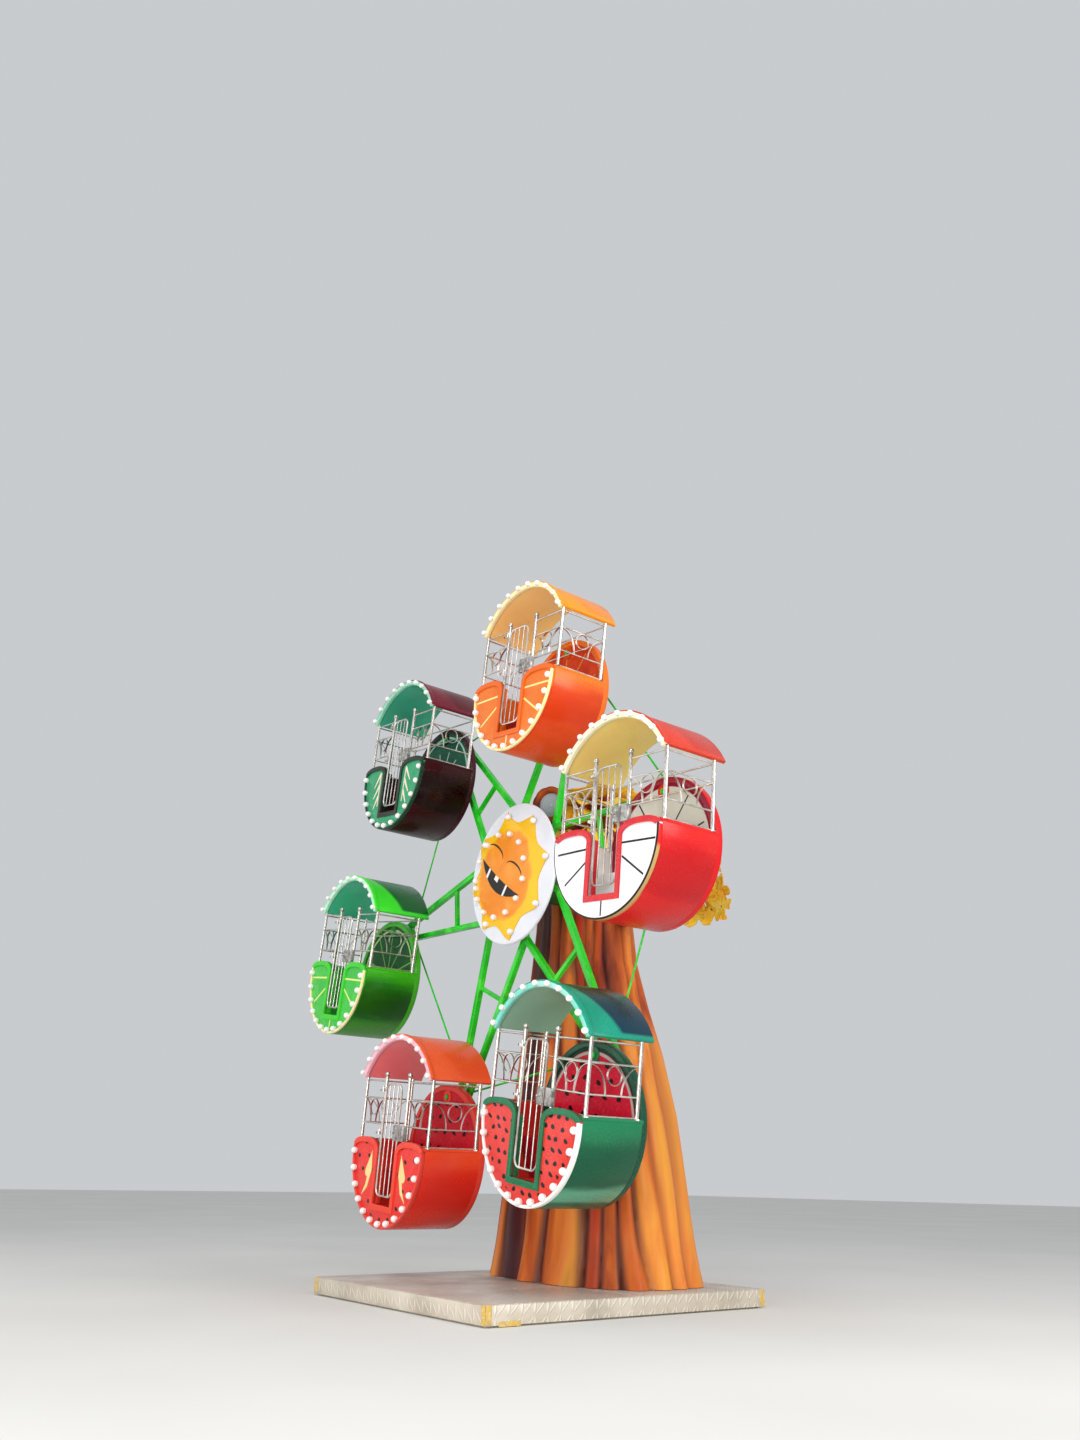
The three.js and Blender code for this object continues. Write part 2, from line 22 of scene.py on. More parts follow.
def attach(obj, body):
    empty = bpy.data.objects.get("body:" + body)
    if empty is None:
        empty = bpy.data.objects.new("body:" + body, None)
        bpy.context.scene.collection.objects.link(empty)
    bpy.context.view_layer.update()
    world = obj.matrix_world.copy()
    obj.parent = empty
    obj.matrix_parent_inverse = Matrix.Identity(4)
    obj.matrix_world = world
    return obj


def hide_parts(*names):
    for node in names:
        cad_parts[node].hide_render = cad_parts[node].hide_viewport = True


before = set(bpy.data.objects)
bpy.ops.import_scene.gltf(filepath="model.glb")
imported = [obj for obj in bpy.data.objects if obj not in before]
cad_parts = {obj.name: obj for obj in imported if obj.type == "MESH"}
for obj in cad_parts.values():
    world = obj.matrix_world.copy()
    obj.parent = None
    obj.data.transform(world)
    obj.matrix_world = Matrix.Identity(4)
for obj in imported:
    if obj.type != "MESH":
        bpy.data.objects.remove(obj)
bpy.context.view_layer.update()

LOG = logging.getLogger("wheel")
MERGED = 1e-5
ROUND, POST_SIDES, BAR_SIDES = 128, 20, 12
UP, FORWARD = Vector((0, 0, 1)), Vector((0, -1, 0))
Point = tuple[float, float]
Spot = tuple[float, float, float]
Row = tuple[float, ...]
Tier = tuple[int, float, float, float, float]
Mesh = bpy.types.Object
Socket = bpy.types.NodeSocket
Value = Socket | float | str | Sequence[float]
Paint = tuple[Value, Value, Value]


# Modelling by hand


def put_down() -> None:
    """Leave edit mode and deselect everything."""
    if bpy.context.object and bpy.context.object.mode != "OBJECT":
        bpy.ops.object.mode_set(mode="OBJECT")
    bpy.ops.object.select_all(action="DESELECT")


def take(*pieces: Mesh) -> None:
    """Select these objects alone, and make the first of them active.

    Args:
        pieces: The objects to select.
    """
    put_down()
    for piece in pieces:
        piece.select_set(True)
    bpy.context.view_layer.objects.active = pieces[0]


def open_up(piece: Mesh, mode: str = "VERT") -> None:
    """Enter edit mode on one object with all of it selected.

    Args:
        piece: The object to edit.
        mode: What is selected: VERT, EDGE or FACE.
    """
    take(piece)
    bpy.ops.object.mode_set(mode="EDIT")
    bpy.ops.mesh.select_mode(type=mode)
    all_of_it()


def pull(step: Sequence[float]) -> None:
    """Extrude what is selected by a step, in edit mode."""
    bpy.ops.mesh.extrude_region_move(TRANSFORM_OT_translate={"value": step})


def all_of_it() -> None:
    """Select the whole mesh in edit mode."""
    bpy.ops.mesh.select_all(action="SELECT")


def merge_doubles(near: float = MERGED) -> None:
    """Merge all vertices that lie this near each other, in edit mode."""
    all_of_it()
    bpy.ops.mesh.remove_doubles(threshold=near)


def face_out(merge: float = 0.0) -> None:
    """Merge doubled vertices and turn all faces outwards, in edit mode.

    Args:
        merge: How near vertices are merged, or 0 for none.
    """
    if merge:
        merge_doubles(merge)
    all_of_it()
    bpy.ops.mesh.normals_make_consistent(inside=False)


def pick_faces(piece: Mesh, wanted: Callable[[bmesh.types.BMFace], bool]) -> None:
    """Select the faces that a test picks, in edit mode.

    Args:
        piece: The object in edit mode.
        wanted: The test, on a face's place or normal.
    """
    bpy.ops.mesh.select_mode(type="FACE")
    mesh = bmesh.from_edit_mesh(piece.data)
    for face in mesh.faces:
        face.select_set(wanted(face))
    bmesh.update_edit_mesh(piece.data)


def settle(piece: Mesh, name: str) -> Mesh:
    """Close an edit, put the object's place into its mesh and name it.

    Args:
        piece: The object.
        name: Its new name.

    Returns:
        The same object, at the origin.
    """
    take(piece)
    bpy.ops.object.transform_apply(location=True, rotation=True, scale=True)
    piece.name = name
    piece.data.name = name
    return piece


def box(name: str, low: Sequence[float], high: Sequence[float]) -> Mesh:
    """Model a box between two corners.

    Args:
        name: The piece's name.
        low: The lowest corner.
        high: The highest corner.

    Returns:
        The box.
    """
    put_down()
    middle = [(a + b) / 2 for a, b in zip(low, high)]
    bpy.ops.mesh.primitive_cube_add(size=1, location=middle)
    piece = bpy.context.object
    piece.scale = [b - a for a, b in zip(low, high)]
    return settle(piece, name)


def rod(name: str, start: Vector, end: Vector, radius: float, sides: int = 16) -> Mesh:
    """Model a round bar from one point to another.

    Args:
        name: The piece's name.
        start: The middle of one end.
        end: The middle of the other end.
        radius: The bar's radius.
        sides: How many sides it has.

    Returns:
        The bar.
    """
    put_down()
    start, end = Vector(start), Vector(end)
    along = end - start
    turn = along.to_track_quat("Z", "Y").to_euler()
    bpy.ops.mesh.primitive_cylinder_add(
        vertices=sides, radius=radius, depth=along.length, location=(start + end) / 2, rotation=turn
    )
    return settle(bpy.context.object, name)


def chain(points: Sequence[Vector]) -> Mesh:
    """Draw a line of edges, one extruded vertex after another.

    Args:
        points: The places of the vertices.

    Returns:
        The line, still in edit mode with its last vertex selected.
    """
    put_down()
    bpy.ops.mesh.primitive_plane_add(size=0.001, location=points[0])
    piece = bpy.context.object
    open_up(piece)
    bpy.ops.mesh.merge(type="CENTER")
    for here, there in zip(points, points[1:]):
        pull(Vector(there) - Vector(here))
    return piece


def slab(name: str, outline: Sequence[Point], near: float, far: float) -> Mesh:
    """Fill an outline in X and Z and give it thickness along Y.

    Args:
        name: The piece's name.
        outline: The corners as X and Z.
        near: Y of the front.
        far: Y of the back.

    Returns:
        The closed slab.
    """
    piece = chain([Vector((x, near, z)) for x, z in outline])
    all_of_it()
    bpy.ops.mesh.edge_face_add()
    all_of_it()
    pull((0, far - near, 0))
    face_out()
    return settle(piece, name)


def swept(
    name: str, section: Sequence[Vector], centre: Vector, angle: float, steps: int, axis: Vector = (0, 1, 0)
) -> Mesh:
    """Spin a closed section about an axis, and close its ends.

    Args:
        name: The piece's name.
        section: The section's corners.
        centre: A point on the axis.
        angle: How far to spin, in radians.
        steps: How many steps the spin has.
        axis: The axis to spin about.

    Returns:
        The closed piece.
    """
    piece = chain([Vector(p) for p in section])
    all_of_it()
    bpy.ops.mesh.edge_face_add()
    all_of_it()
    bpy.ops.mesh.spin(steps=steps, angle=angle, center=centre, axis=axis)
    merge_doubles()
    all_of_it()
    bpy.ops.mesh.fill_holes(sides=len(section))
    if angle > 6.28:
        bpy.ops.mesh.select_all(action="DESELECT")
        bpy.ops.mesh.select_interior_faces()
        bpy.ops.mesh.delete(type="FACE")
    face_out()
    return settle(piece, name)


def turned(name: str, profile: Sequence[Point], centre: Vector, axis: Vector, steps: int = 24) -> Mesh:
    """Turn a profile round an axis, as on a lathe.

    Args:
        name: The piece's name.
        profile: Points as radius and height along the axis, from end to end on the axis.
        centre: Where the axis starts.
        axis: The axis's direction.
        steps: How many steps go round.

    Returns:
        The closed piece.
    """
    axis = Vector(axis).normalized()
    out = axis.orthogonal().normalized()
    piece = chain([Vector(centre) + out * r + axis * h for r, h in profile])
    all_of_it()
    bpy.ops.mesh.spin(steps=steps, angle=tau, center=centre, axis=axis)
    face_out(MERGED)
    return settle(piece, name)


def tube(name: str, points: Sequence[Vector], radius: float, closed: bool = False) -> Mesh:
    """Bend a tube along a line of points.

    Args:
        name: The piece's name.
        points: The middle line.
        radius: The tube's radius.
        closed: Whether the line meets its own start.

    Returns:
        The tube as a mesh.
    """
    piece = chain([Vector(p) for p in points])
    if closed:
        mesh = bmesh.from_edit_mesh(piece.data)
        mesh.verts.ensure_lookup_table()
        for vertex in mesh.verts:
            vertex.select_set(len(vertex.link_edges) == 1)
        bmesh.update_edit_mesh(piece.data)
        bpy.ops.mesh.edge_face_add()
    take(piece)
    bpy.ops.object.convert(target="CURVE")
    line = bpy.context.object
    line.data.bevel_depth = radius
    line.data.bevel_resolution = 2
    line.data.use_fill_caps = True
    bpy.ops.object.convert(target="MESH")
    open_up(bpy.context.object)
    face_out(MERGED)
    return settle(bpy.context.object, name)


def rounded(piece: Mesh, width: float, segments: int = 2, angle: float = 35) -> Mesh:
    """Round a piece's sharp edges and smooth its shading.

    Args:
        piece: The object.
        width: The bevel's width.
        segments: The bevel's segments.
        angle: The least angle, in degrees, that counts as sharp.

    Returns:
        The same object.
    """
    take(piece)
    bevel = piece.modifiers.new("edges", "BEVEL")
    bevel.width = width
    bevel.segments = segments
    bevel.limit_method = "ANGLE"
    bevel.angle_limit = radians(angle)
    bevel.use_clamp_overlap = True
    bpy.ops.object.modifier_apply(modifier=bevel.name)
    return smoothed(piece, angle)


def smoothed(piece: Mesh, angle: float = 35) -> Mesh:
    """Shade a piece smooth, apart from its sharp edges.

    Args:
        piece: The object.
        angle: The least angle, in degrees, that stays sharp.

    Returns:
        The same object.
    """
    take(piece)
    bpy.ops.object.shade_smooth_by_angle(angle=radians(angle))
    return piece


def carve(piece: Mesh, tool: Mesh, operation: str = "DIFFERENCE") -> Mesh:
    """Cut a tool out of a piece, or keep what both hold.

    Args:
        piece: The object to cut.
        tool: The object that cuts, which is then deleted.
        operation: The boolean's kind.

    Returns:
        The cut piece.
    """
    take(piece)
    cut = piece.modifiers.new("cut", "BOOLEAN")
    cut.operation = operation
    cut.solver = "EXACT"
    cut.object = tool
    bpy.ops.object.modifier_apply(modifier=cut.name)
    bpy.data.objects.remove(tool)
    return piece


def spin(angle: float, axis: str) -> Matrix:
    """A turn about one of the axes."""
    return Matrix.Rotation(angle, 4, axis)


def joined(name: str, pieces: Sequence[Mesh]) -> Mesh:
    """Join several objects into one.

    Args:
        name: The joined piece's name.
        pieces: The objects.

    Returns:
        The joined piece.
    """
    take(*pieces)
    bpy.ops.object.join()
    return settle(bpy.context.object, name)


def copied(piece: Mesh, name: str, place: Matrix | None = None) -> Mesh:
    """Copy a piece with a mesh of its own.

    Args:
        piece: The object to copy.
        name: The copy's name.
        place: Where the copy goes, seen from the original's place.

    Returns:
        The copy.
    """
    take(piece)
    bpy.ops.object.duplicate(linked=False)
    copy = bpy.context.object
    copy.parent = None
    for key in [key for key in copy.keys() if key.startswith("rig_")]:
        del copy[key]
    copy.hide_render = copy.hide_viewport = False
    copy.matrix_world = place if place is not None else Matrix.Identity(4)
    return settle(copy, name)


def from_cad(node: str, name: str, width: float, segments: int = 2) -> Mesh:
    """Copy a CAD node, merge its triangles and round its edges.

    Args:
        node: The CAD node's name.
        name: The copy's name.
        width: The bevel's width.
        segments: The bevel's segments.

    Returns:
        The rounded copy, which isn't shown as the node yet.
    """
    piece = copied(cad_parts[node], name)
    piece.data.materials.clear()
    open_up(piece)
    merge_doubles()
    all_of_it()
    bpy.ops.mesh.dissolve_limited(angle_limit=radians(1))
    put_down()
    return rounded(piece, width, segments)


def arc(radius: float, start: float, end: float, steps: int, centre: Point = (0, 0)) -> list[Point]:
    """Points along an arc in X and Z, with its angles in degrees from +X towards +Z."""
    angles = [radians(start + (end - start) * i / steps) for i in range(steps + 1)]
    return [(centre[0] + radius * cos(a), centre[1] + radius * sin(a)) for a in angles]


def offset(path: Sequence[Point], distance: float) -> list[Point]:
    """Move a path sideways, with mitred corners.

    Args:
        path: The path's points.
        distance: How far to its right it moves.

    Returns:
        The moved points.
    """
    moved = []
    for i, (x, z) in enumerate(path):
        before, after = path[max(i - 1, 0)], path[min(i + 1, len(path) - 1)]
        normals = []
        for (ax, az), (bx, bz) in ((before, (x, z)), ((x, z), after)):
            length = hypot(bx - ax, bz - az)
            if length > 1e-9:
                normals.append(Vector(((bz - az) / length, -(bx - ax) / length)))
        middle = sum(normals, Vector((0, 0))).normalized()
        reach = distance / max(middle.dot(normals[0]), 0.4)
        moved.append((x + middle.x * reach, z + middle.y * reach))
    return moved


# Wiring of the finishes


def tint(code: str) -> tuple[float, float, float, float]:
    """Turn a colour as seen on screen into the linear colour that nodes take.

    Args:
        code: Six hexadecimal digits.

    Returns:
        Red, green, blue and alpha.
    """
    values = [int(code[i : i + 2], 16) / 255 for i in (0, 2, 4)]
    linear = [v / 12.92 if v <= 0.04045 else ((v + 0.055) / 1.055) ** 2.4 for v in values]
    return (*linear, 1.0)


class Wiring:
    """The nodes of one material or group, and short ways to add to them."""

    def __init__(self, tree: bpy.types.NodeTree) -> None:
        """Start on the node tree of a material or group."""
        self.tree = tree

    def node(self, kind: str, **settings: object) -> bpy.types.Node:
        """Add a node.

        Args:
            kind: The node's type.
            settings: Its properties.

        Returns:
            The node.
        """
        made = self.tree.nodes.new(kind)
        for key, value in settings.items():
            setattr(made, key, value)
        return made

    def feed(self, socket: Socket, value: Value) -> None:
        """Link a socket to another, or set its value.

        Args:
            socket: The input.
            value: A socket to link, or a plain value.
        """
        if isinstance(value, Socket):
            self.tree.links.new(value, socket)
        else:
            socket.default_value = tint(value) if isinstance(value, str) else value

    def feed_all(self, node: bpy.types.Node, values: dict[str, Value]) -> bpy.types.Node:
        """Feed a node's inputs.

        Args:
            node: The node.
            values: The inputs' values by name.

        Returns:
            The same node.
        """
        for name, value in values.items():
            self.feed(node.inputs[name], value)
        return node

    def math(self, operation: str, *values: Value, clamp: bool = False) -> Socket:
        """Do sums on numbers.

        Args:
            operation: The Math node's operation.
            values: Its inputs.
            clamp: Whether the result stays between 0 and 1.

        Returns:
            The result.
        """
        made = self.node("ShaderNodeMath", operation=operation, use_clamp=clamp)
        for socket, value in zip(made.inputs, values):
            self.feed(socket, value)
        return made.outputs[0]

    def times(self, one: Value, other: Value, clamp: bool = False) -> Socket:
        """The product of two numbers."""
        return self.math("MULTIPLY", one, other, clamp=clamp)

    def plus(self, one: Value, other: Value, clamp: bool = False) -> Socket:
        """The sum of two numbers."""
        return self.math("ADD", one, other, clamp=clamp)

    def minus(self, one: Value, other: Value) -> Socket:
        """The difference of two numbers."""
        return self.math("SUBTRACT", one, other)

    def size(self, value: Value) -> Socket:
        """A number without its sign."""
        return self.math("ABSOLUTE", value)

    def power(self, value: Value, to: float) -> Socket:
        """A number raised to a power."""
        return self.math("POWER", value, to)

    def apart(self, vector: Value) -> bpy.types.NodeOutputs:
        """The X, Y and Z of a vector or a colour."""
        made = self.node("ShaderNodeSeparateXYZ")
        self.feed(made.inputs[0], vector)
        return made.outputs

    def vector(self, operation: str, *values: Value) -> bpy.types.Node:
        """Do sums on vectors.

        Args:
            operation: The Vector Math node's operation.
            values: Its vector inputs.

        Returns:
            The node.
        """
        made = self.node("ShaderNodeVectorMath", operation=operation)
        for socket, value in zip(made.inputs, values):
            self.feed(socket, value)
        return made

    def mix(self, share: Value, under: Value, over: Value, blend: str = "MIX") -> Socket:
        """Mix two colours.

        Args:
            share: How much of the second colour shows.
            under: The first colour.
            over: The second colour.
            blend: The blend mode.

        Returns:
            The mixed colour.
        """
        made = self.node("ShaderNodeMix", data_type="RGBA", blend_type=blend)
        self.feed(made.inputs[0], share)
        self.feed(made.inputs[6], under)
        self.feed(made.inputs[7], over)
        return made.outputs[2]

    def span(
        self, value: Value, low: float, high: float,
        to_low: float = 0, to_high: float = 1, smooth: bool = True,
    ) -> Socket:
        """Map one range to another, softly at both ends.

        Args:
            value: The number.
            low: Where the first range starts.
            high: Where it ends.
            to_low: The result at its start.
            to_high: The result at its end.
            smooth: Whether the ends ease in and out.

        Returns:
            The mapped number.
        """
        made = self.node("ShaderNodeMapRange", interpolation_type="SMOOTHSTEP" if smooth else "LINEAR")
        for socket, given in zip(made.inputs, (value, low, high, to_low, to_high)):
            self.feed(socket, given)
        return made.outputs[0]

    def noise(self, place: Value, scale: float, detail: float = 3, distortion: float = 0) -> Socket:
        """Add a noise texture.

        Args:
            place: Its coordinates.
            scale: Its scale.
            detail: Its detail.
            distortion: Its distortion.

        Returns:
            The noise as a number.
        """
        given = {"Vector": place, "Scale": scale, "Detail": detail, "Distortion": distortion}
        return self.feed_all(self.node("ShaderNodeTexNoise"), given).outputs[0]

    def ramp(self, value: Value, stops: Sequence[tuple[float, str]]) -> Socket:
        """Turn a number into a colour.

        Args:
            value: The number.
            stops: Places and colour codes along the ramp.

        Returns:
            The colour.
        """
        made = self.node("ShaderNodeValToRGB")
        self.feed(made.inputs[0], value)
        scale = made.color_ramp.elements
        while len(scale) < len(stops):
            scale.new(0.5)
        for element, (place, code) in zip(scale, stops):
            element.position = place
            element.color = tint(code)
        return made.outputs[0]

    def group(self, shared: bpy.types.NodeTree, **values: Value) -> bpy.types.Node:
        """Place a shared group.

        Args:
            shared: The group's tree.
            values: Its inputs by name.

        Returns:
            The group's node.
        """
        return self.feed_all(self.node("ShaderNodeGroup", node_tree=shared), values)

    def place(self, at: Vector = (0, 0, 0), lean: float = 0, scale: Sequence[float] = (1, 1, 1)) -> Value:
        """Object coordinates, measured from a point and turned about Y.

        Args:
            at: The point.
            lean: The turn about Y, in radians.
            scale: How much the pattern is stretched.

        Returns:
            The coordinates.
        """
        source = self.node("ShaderNodeTexCoord").outputs["Object"]
        local = self.node("ShaderNodeMapping", vector_type="TEXTURE")
        self.feed(local.inputs[0], source)
        local.inputs[1].default_value = at
        local.inputs[2].default_value = (0, lean, 0)
        local.inputs[3].default_value = scale
        return local.outputs[0]


Sockets = dict[str, tuple[str, object]]


def shared_group(
    name: str, inputs: Sockets, outputs: Sequence[tuple[str, str]], fill: Callable[[Wiring, object], dict]
) -> bpy.types.NodeTree:
    """Build a shader node group once.

    Args:
        name: The group's name.
        inputs: Each input's name with its type and starting value.
        outputs: Each output's name and type.
        fill: Makes the nodes from the net and the input sockets, and returns the outputs by name.

    Returns:
        The group's tree.
    """
    tree = bpy.data.node_groups.new(name, "ShaderNodeTree")
    for label, (kind, start) in inputs.items():
        socket = tree.interface.new_socket(name=label, in_out="INPUT", socket_type=f"NodeSocket{kind}")
        socket.default_value = start
    for label, kind in outputs:
        tree.interface.new_socket(name=label, in_out="OUTPUT", socket_type=f"NodeSocket{kind}")
    net = Wiring(tree)
    entry = net.node("NodeGroupInput")
    leave = net.node("NodeGroupOutput")
    for label, value in fill(net, entry.outputs).items():
        net.feed(leave.inputs[label], value)
    return tree


def fill_airbrush(net: Wiring, given: object) -> dict[str, Value]:
    """Sprayed paint: soft clouds of a darker and a lighter tone, fine dust, and uneven gloss."""
    soft = net.noise(given["Place"], 1.0, 3)
    shade = net.times(net.span(soft, 0.38, 0.66), given["Amount"])
    other = net.vector("ADD", given["Place"], (7.3, 2.1, 5.7)).outputs[0]
    light = net.times(net.span(net.noise(other, 1.6, 4), 0.48, 0.75), given["Amount"])
    colour = net.mix(shade, given["Base"], given["Shade"])
    colour = net.mix(light, colour, given["Light"])
    dust = net.noise(net.node("ShaderNodeTexCoord").outputs["Object"], 60, 4)
    colour = net.mix(net.span(dust, 0.55, 0.8, 0, 0.18), colour, (0.55, 0.5, 0.42, 1))
    return {
        "Colour": colour,
        "Roughness": net.span(net.plus(soft, net.times(dust, 0.5)), 0.5, 1.0, 0.2, 0.42),
        "Height": net.plus(net.times(soft, 0.6), net.times(dust, 0.12)),
    }


def fill_stroke(net: Wiring, given: object) -> dict[str, Value]:
    """A brush stroke from one point to another, as a mask with a soft edge."""
    along = net.vector("SUBTRACT", given["To"], given["From"]).outputs[0]
    here = net.vector("SUBTRACT", given["Place"], given["From"]).outputs[0]
    reach = net.vector("DOT_PRODUCT", here, along).outputs[1]
    length = net.vector("DOT_PRODUCT", along, along).outputs[1]
    share = net.math("DIVIDE", reach, length, clamp=True)
    foot = net.vector("SCALE", along)
    net.feed(foot.inputs["Scale"], share)
    away = net.vector("SUBTRACT", here, foot.outputs[0]).outputs[0]
    distance = net.vector("LENGTH", away).outputs[1]
    taper = net.times(net.times(share, given["Taper"]), given["Width"])
    width = net.minus(given["Width"], taper)
    edge = net.math("DIVIDE", net.minus(width, distance), 0.004)
    return {"Mask": net.plus(edge, 0.5, clamp=True)}


def fill_seeds(net: Wiring, given: object) -> dict[str, Value]:
    """Drop-shaped seeds in staggered rows on X and Z, a little uneven, as a mask."""
    x, _, z = net.apart(given["Place"])
    row = net.math("FLOOR", z)
    x = net.plus(x, net.times(row, 0.5))
    cell = net.node("ShaderNodeCombineXYZ")
    net.feed(cell.inputs[0], net.math("FLOOR", x))
    net.feed(cell.inputs[1], row)
    chance = net.node("ShaderNodeTexWhiteNoise", noise_dimensions="2D")
    net.feed(chance.inputs["Vector"], cell.outputs[0])
    strays = net.apart(chance.outputs["Color"])
    off = []
    for value, stray in ((x, strays[0]), (z, strays[1])):
        middle = net.plus(net.times(stray, 0.3), 0.35)
        off.append(net.minus(net.math("FRACT", value), middle))
    slant = net.times(off[1], net.minus(strays[2], 0.3))
    aside = net.times(net.plus(off[0], slant), net.plus(off[1], 1.0))
    square = net.plus(net.power(aside, 2.0), net.power(off[1], 2.0))
    size = net.minus(given["Size"], net.math("SQRT", square))
    return {"Mask": net.times(size, 22.0, clamp=True)}


PLACE_IN = ("Vector", (0, 0, 0))
AIRBRUSH = shared_group(
    "airbrush",
    {
        "Place": PLACE_IN,
        "Base": ("Color", (1, 1, 1, 1)),
        "Shade": ("Color", (0.5, 0.5, 0.5, 1)),
        "Light": ("Color", (1, 1, 1, 1)),
        "Amount": ("Float", 0.6),
    },
    [("Colour", "Color"), ("Roughness", "Float"), ("Height", "Float")],
    fill_airbrush,
)
STROKE = shared_group(
    "stroke",
    {
        "Place": PLACE_IN,
        "From": PLACE_IN,
        "To": PLACE_IN,
        "Width": ("Float", 0.01),
        "Taper": ("Float", 0.0),
    },
    [("Mask", "Float")],
    fill_stroke,
)
SEEDS = shared_group("seeds", {"Place": PLACE_IN, "Size": ("Float", 0.2)}, [("Mask", "Float")], fill_seeds)


@dataclass(frozen=True)
class Finish:
    """What every finish has: a name, its gloss, and how strongly its surface is bumped."""

    name: str
    coat: float = 0.08
    metallic: float = 0.0
    bump: float = 0.12
    specular: float = 0.2

    def paint(self, net: Wiring) -> Paint:
        """Make the nodes for colour, roughness and height."""
        raise NotImplementedError

    def material(self) -> bpy.types.Material:
        """Build the material.

        Returns:
            The material.
        """
        made = bpy.data.materials.new(self.name)
        made.use_nodes = True
        shader = made.node_tree.nodes["Principled BSDF"]
        net = Wiring(made.node_tree)
        colour, roughness, height = self.paint(net)
        net.feed(shader.inputs["Base Color"], colour)
        net.feed(shader.inputs["Roughness"], roughness)
        shader.inputs["Metallic"].default_value = self.metallic
        shader.inputs["Coat Weight"].default_value = self.coat
        shader.inputs["Coat Roughness"].default_value = 0.12
        shader.inputs["Specular IOR Level"].default_value = self.specular
        bump = net.node("ShaderNodeBump")
        bump.inputs["Strength"].default_value = self.bump
        bump.inputs["Distance"].default_value = 0.01
        net.feed(bump.inputs["Height"], height)
        net.feed(shader.inputs["Normal"], bump.outputs[0])
        return made


@dataclass(frozen=True)
class Sprayed(Finish):
    """Glass fibre or steel with sprayed gloss paint."""

    base: str = "ffffff"
    shade: str = "cccccc"
    light: str = "ffffff"
    amount: float = 0.6
    stretch: Spot = (0.5, 0.5, 0.5)

    def sprayed(self, net: Wiring) -> Paint:
        """Place the shared paint group with this finish's tones."""
        made = net.group(
            AIRBRUSH,
            Place=net.place(scale=self.stretch), Base=self.base, Shade=self.shade, Light=self.light,
            Amount=self.amount,
        )
        return made.outputs["Colour"], made.outputs["Roughness"], made.outputs["Height"]

    def paint(self, net: Wiring) -> Paint:
        """Plain sprayed paint."""
        return self.sprayed(net)


@dataclass(frozen=True)
class Placed(Sprayed):
    """Sprayed paint that follows the place and the lean of a cabin's pivot."""

    at: Spot = (0, 0, 0)
    lean: float = 0.0
    centre_z: float = -0.62


def tones(codes: Sequence[str]) -> dict[str, str]:
    """Name three colour codes as a sprayed finish takes them."""
    return dict(zip(("base", "shade", "light"), codes))


def dress(piece: Mesh, finish: Finish) -> Mesh:
    """Give a piece one finish."""
    piece.data.materials.append(finish.material())
    return piece


class Pattern(Enum):
    """What is painted on a cut face."""

    SEGMENTS = "segments"
    SEEDS = "seeds"
    LEAVES = "leaves"
    VEINS = "veins"
    RAYS = "rays"
    FAN = "fan"


Stroke = tuple[Point, Point, float, float]


def both_sides(strokes: Sequence[Stroke]) -> list[Stroke]:
    """Add the mirror image of each stroke on the right."""
    return [*strokes, *(((-a[0], a[1]), (-b[0], b[1]), w, t) for a, b, w, t in strokes)]


STROKES: dict[Pattern, list[Stroke]] = {
    Pattern.SEGMENTS: [
        *both_sides(
            [((0.262, -0.69), (0.70, -0.70), 0.0105, 0), ((0.27, -0.82), (0.56, -1.01), 0.0105, 0)]
        ),
        ((0, -1.21), (0, -1.335), 0.0105, 0),
    ],
    Pattern.LEAVES: both_sides(
        [
            ((0.40, -0.84), (0.325, -0.62), 0.046, 0.92),
            ((0.325, -0.82), (0.325, -0.66), 0.026, 0.8),
            ((0.345, -0.84), (0.39, -0.98), 0.032, 0.25),
            ((0.39, -0.98), (0.48, -1.08), 0.026, 0.9),
        ]
    ),
    Pattern.VEINS: both_sides(
        [
            ((0.335, -0.60), (0.325, -1.03), 0.013, 0.2),
            ((0.34, -0.60), (0.47, -0.77), 0.022, 0.6),
            ((0.34, -0.76), (0.46, -0.92), 0.022, 0.6),
            ((0.34, -0.91), (0.43, -1.06), 0.020, 0.6),
        ]
    ),
    Pattern.RAYS: [
        ((0.10 * cos(a), -0.58 + 0.10 * sin(a)), (0.60 * cos(a), -0.58 + 0.60 * sin(a)), 0.009, 0)
        for a in (radians(18 + 36 * i) for i in range(5))
    ],
    Pattern.FAN: [
        ((0, -0.62), (0.42 * cos(a), -0.60 + 0.42 * sin(a)), 0.016, 0.4)
        for a in (radians(40 + 33 * i) for i in range(4))
    ],
    Pattern.SEEDS: [],
}


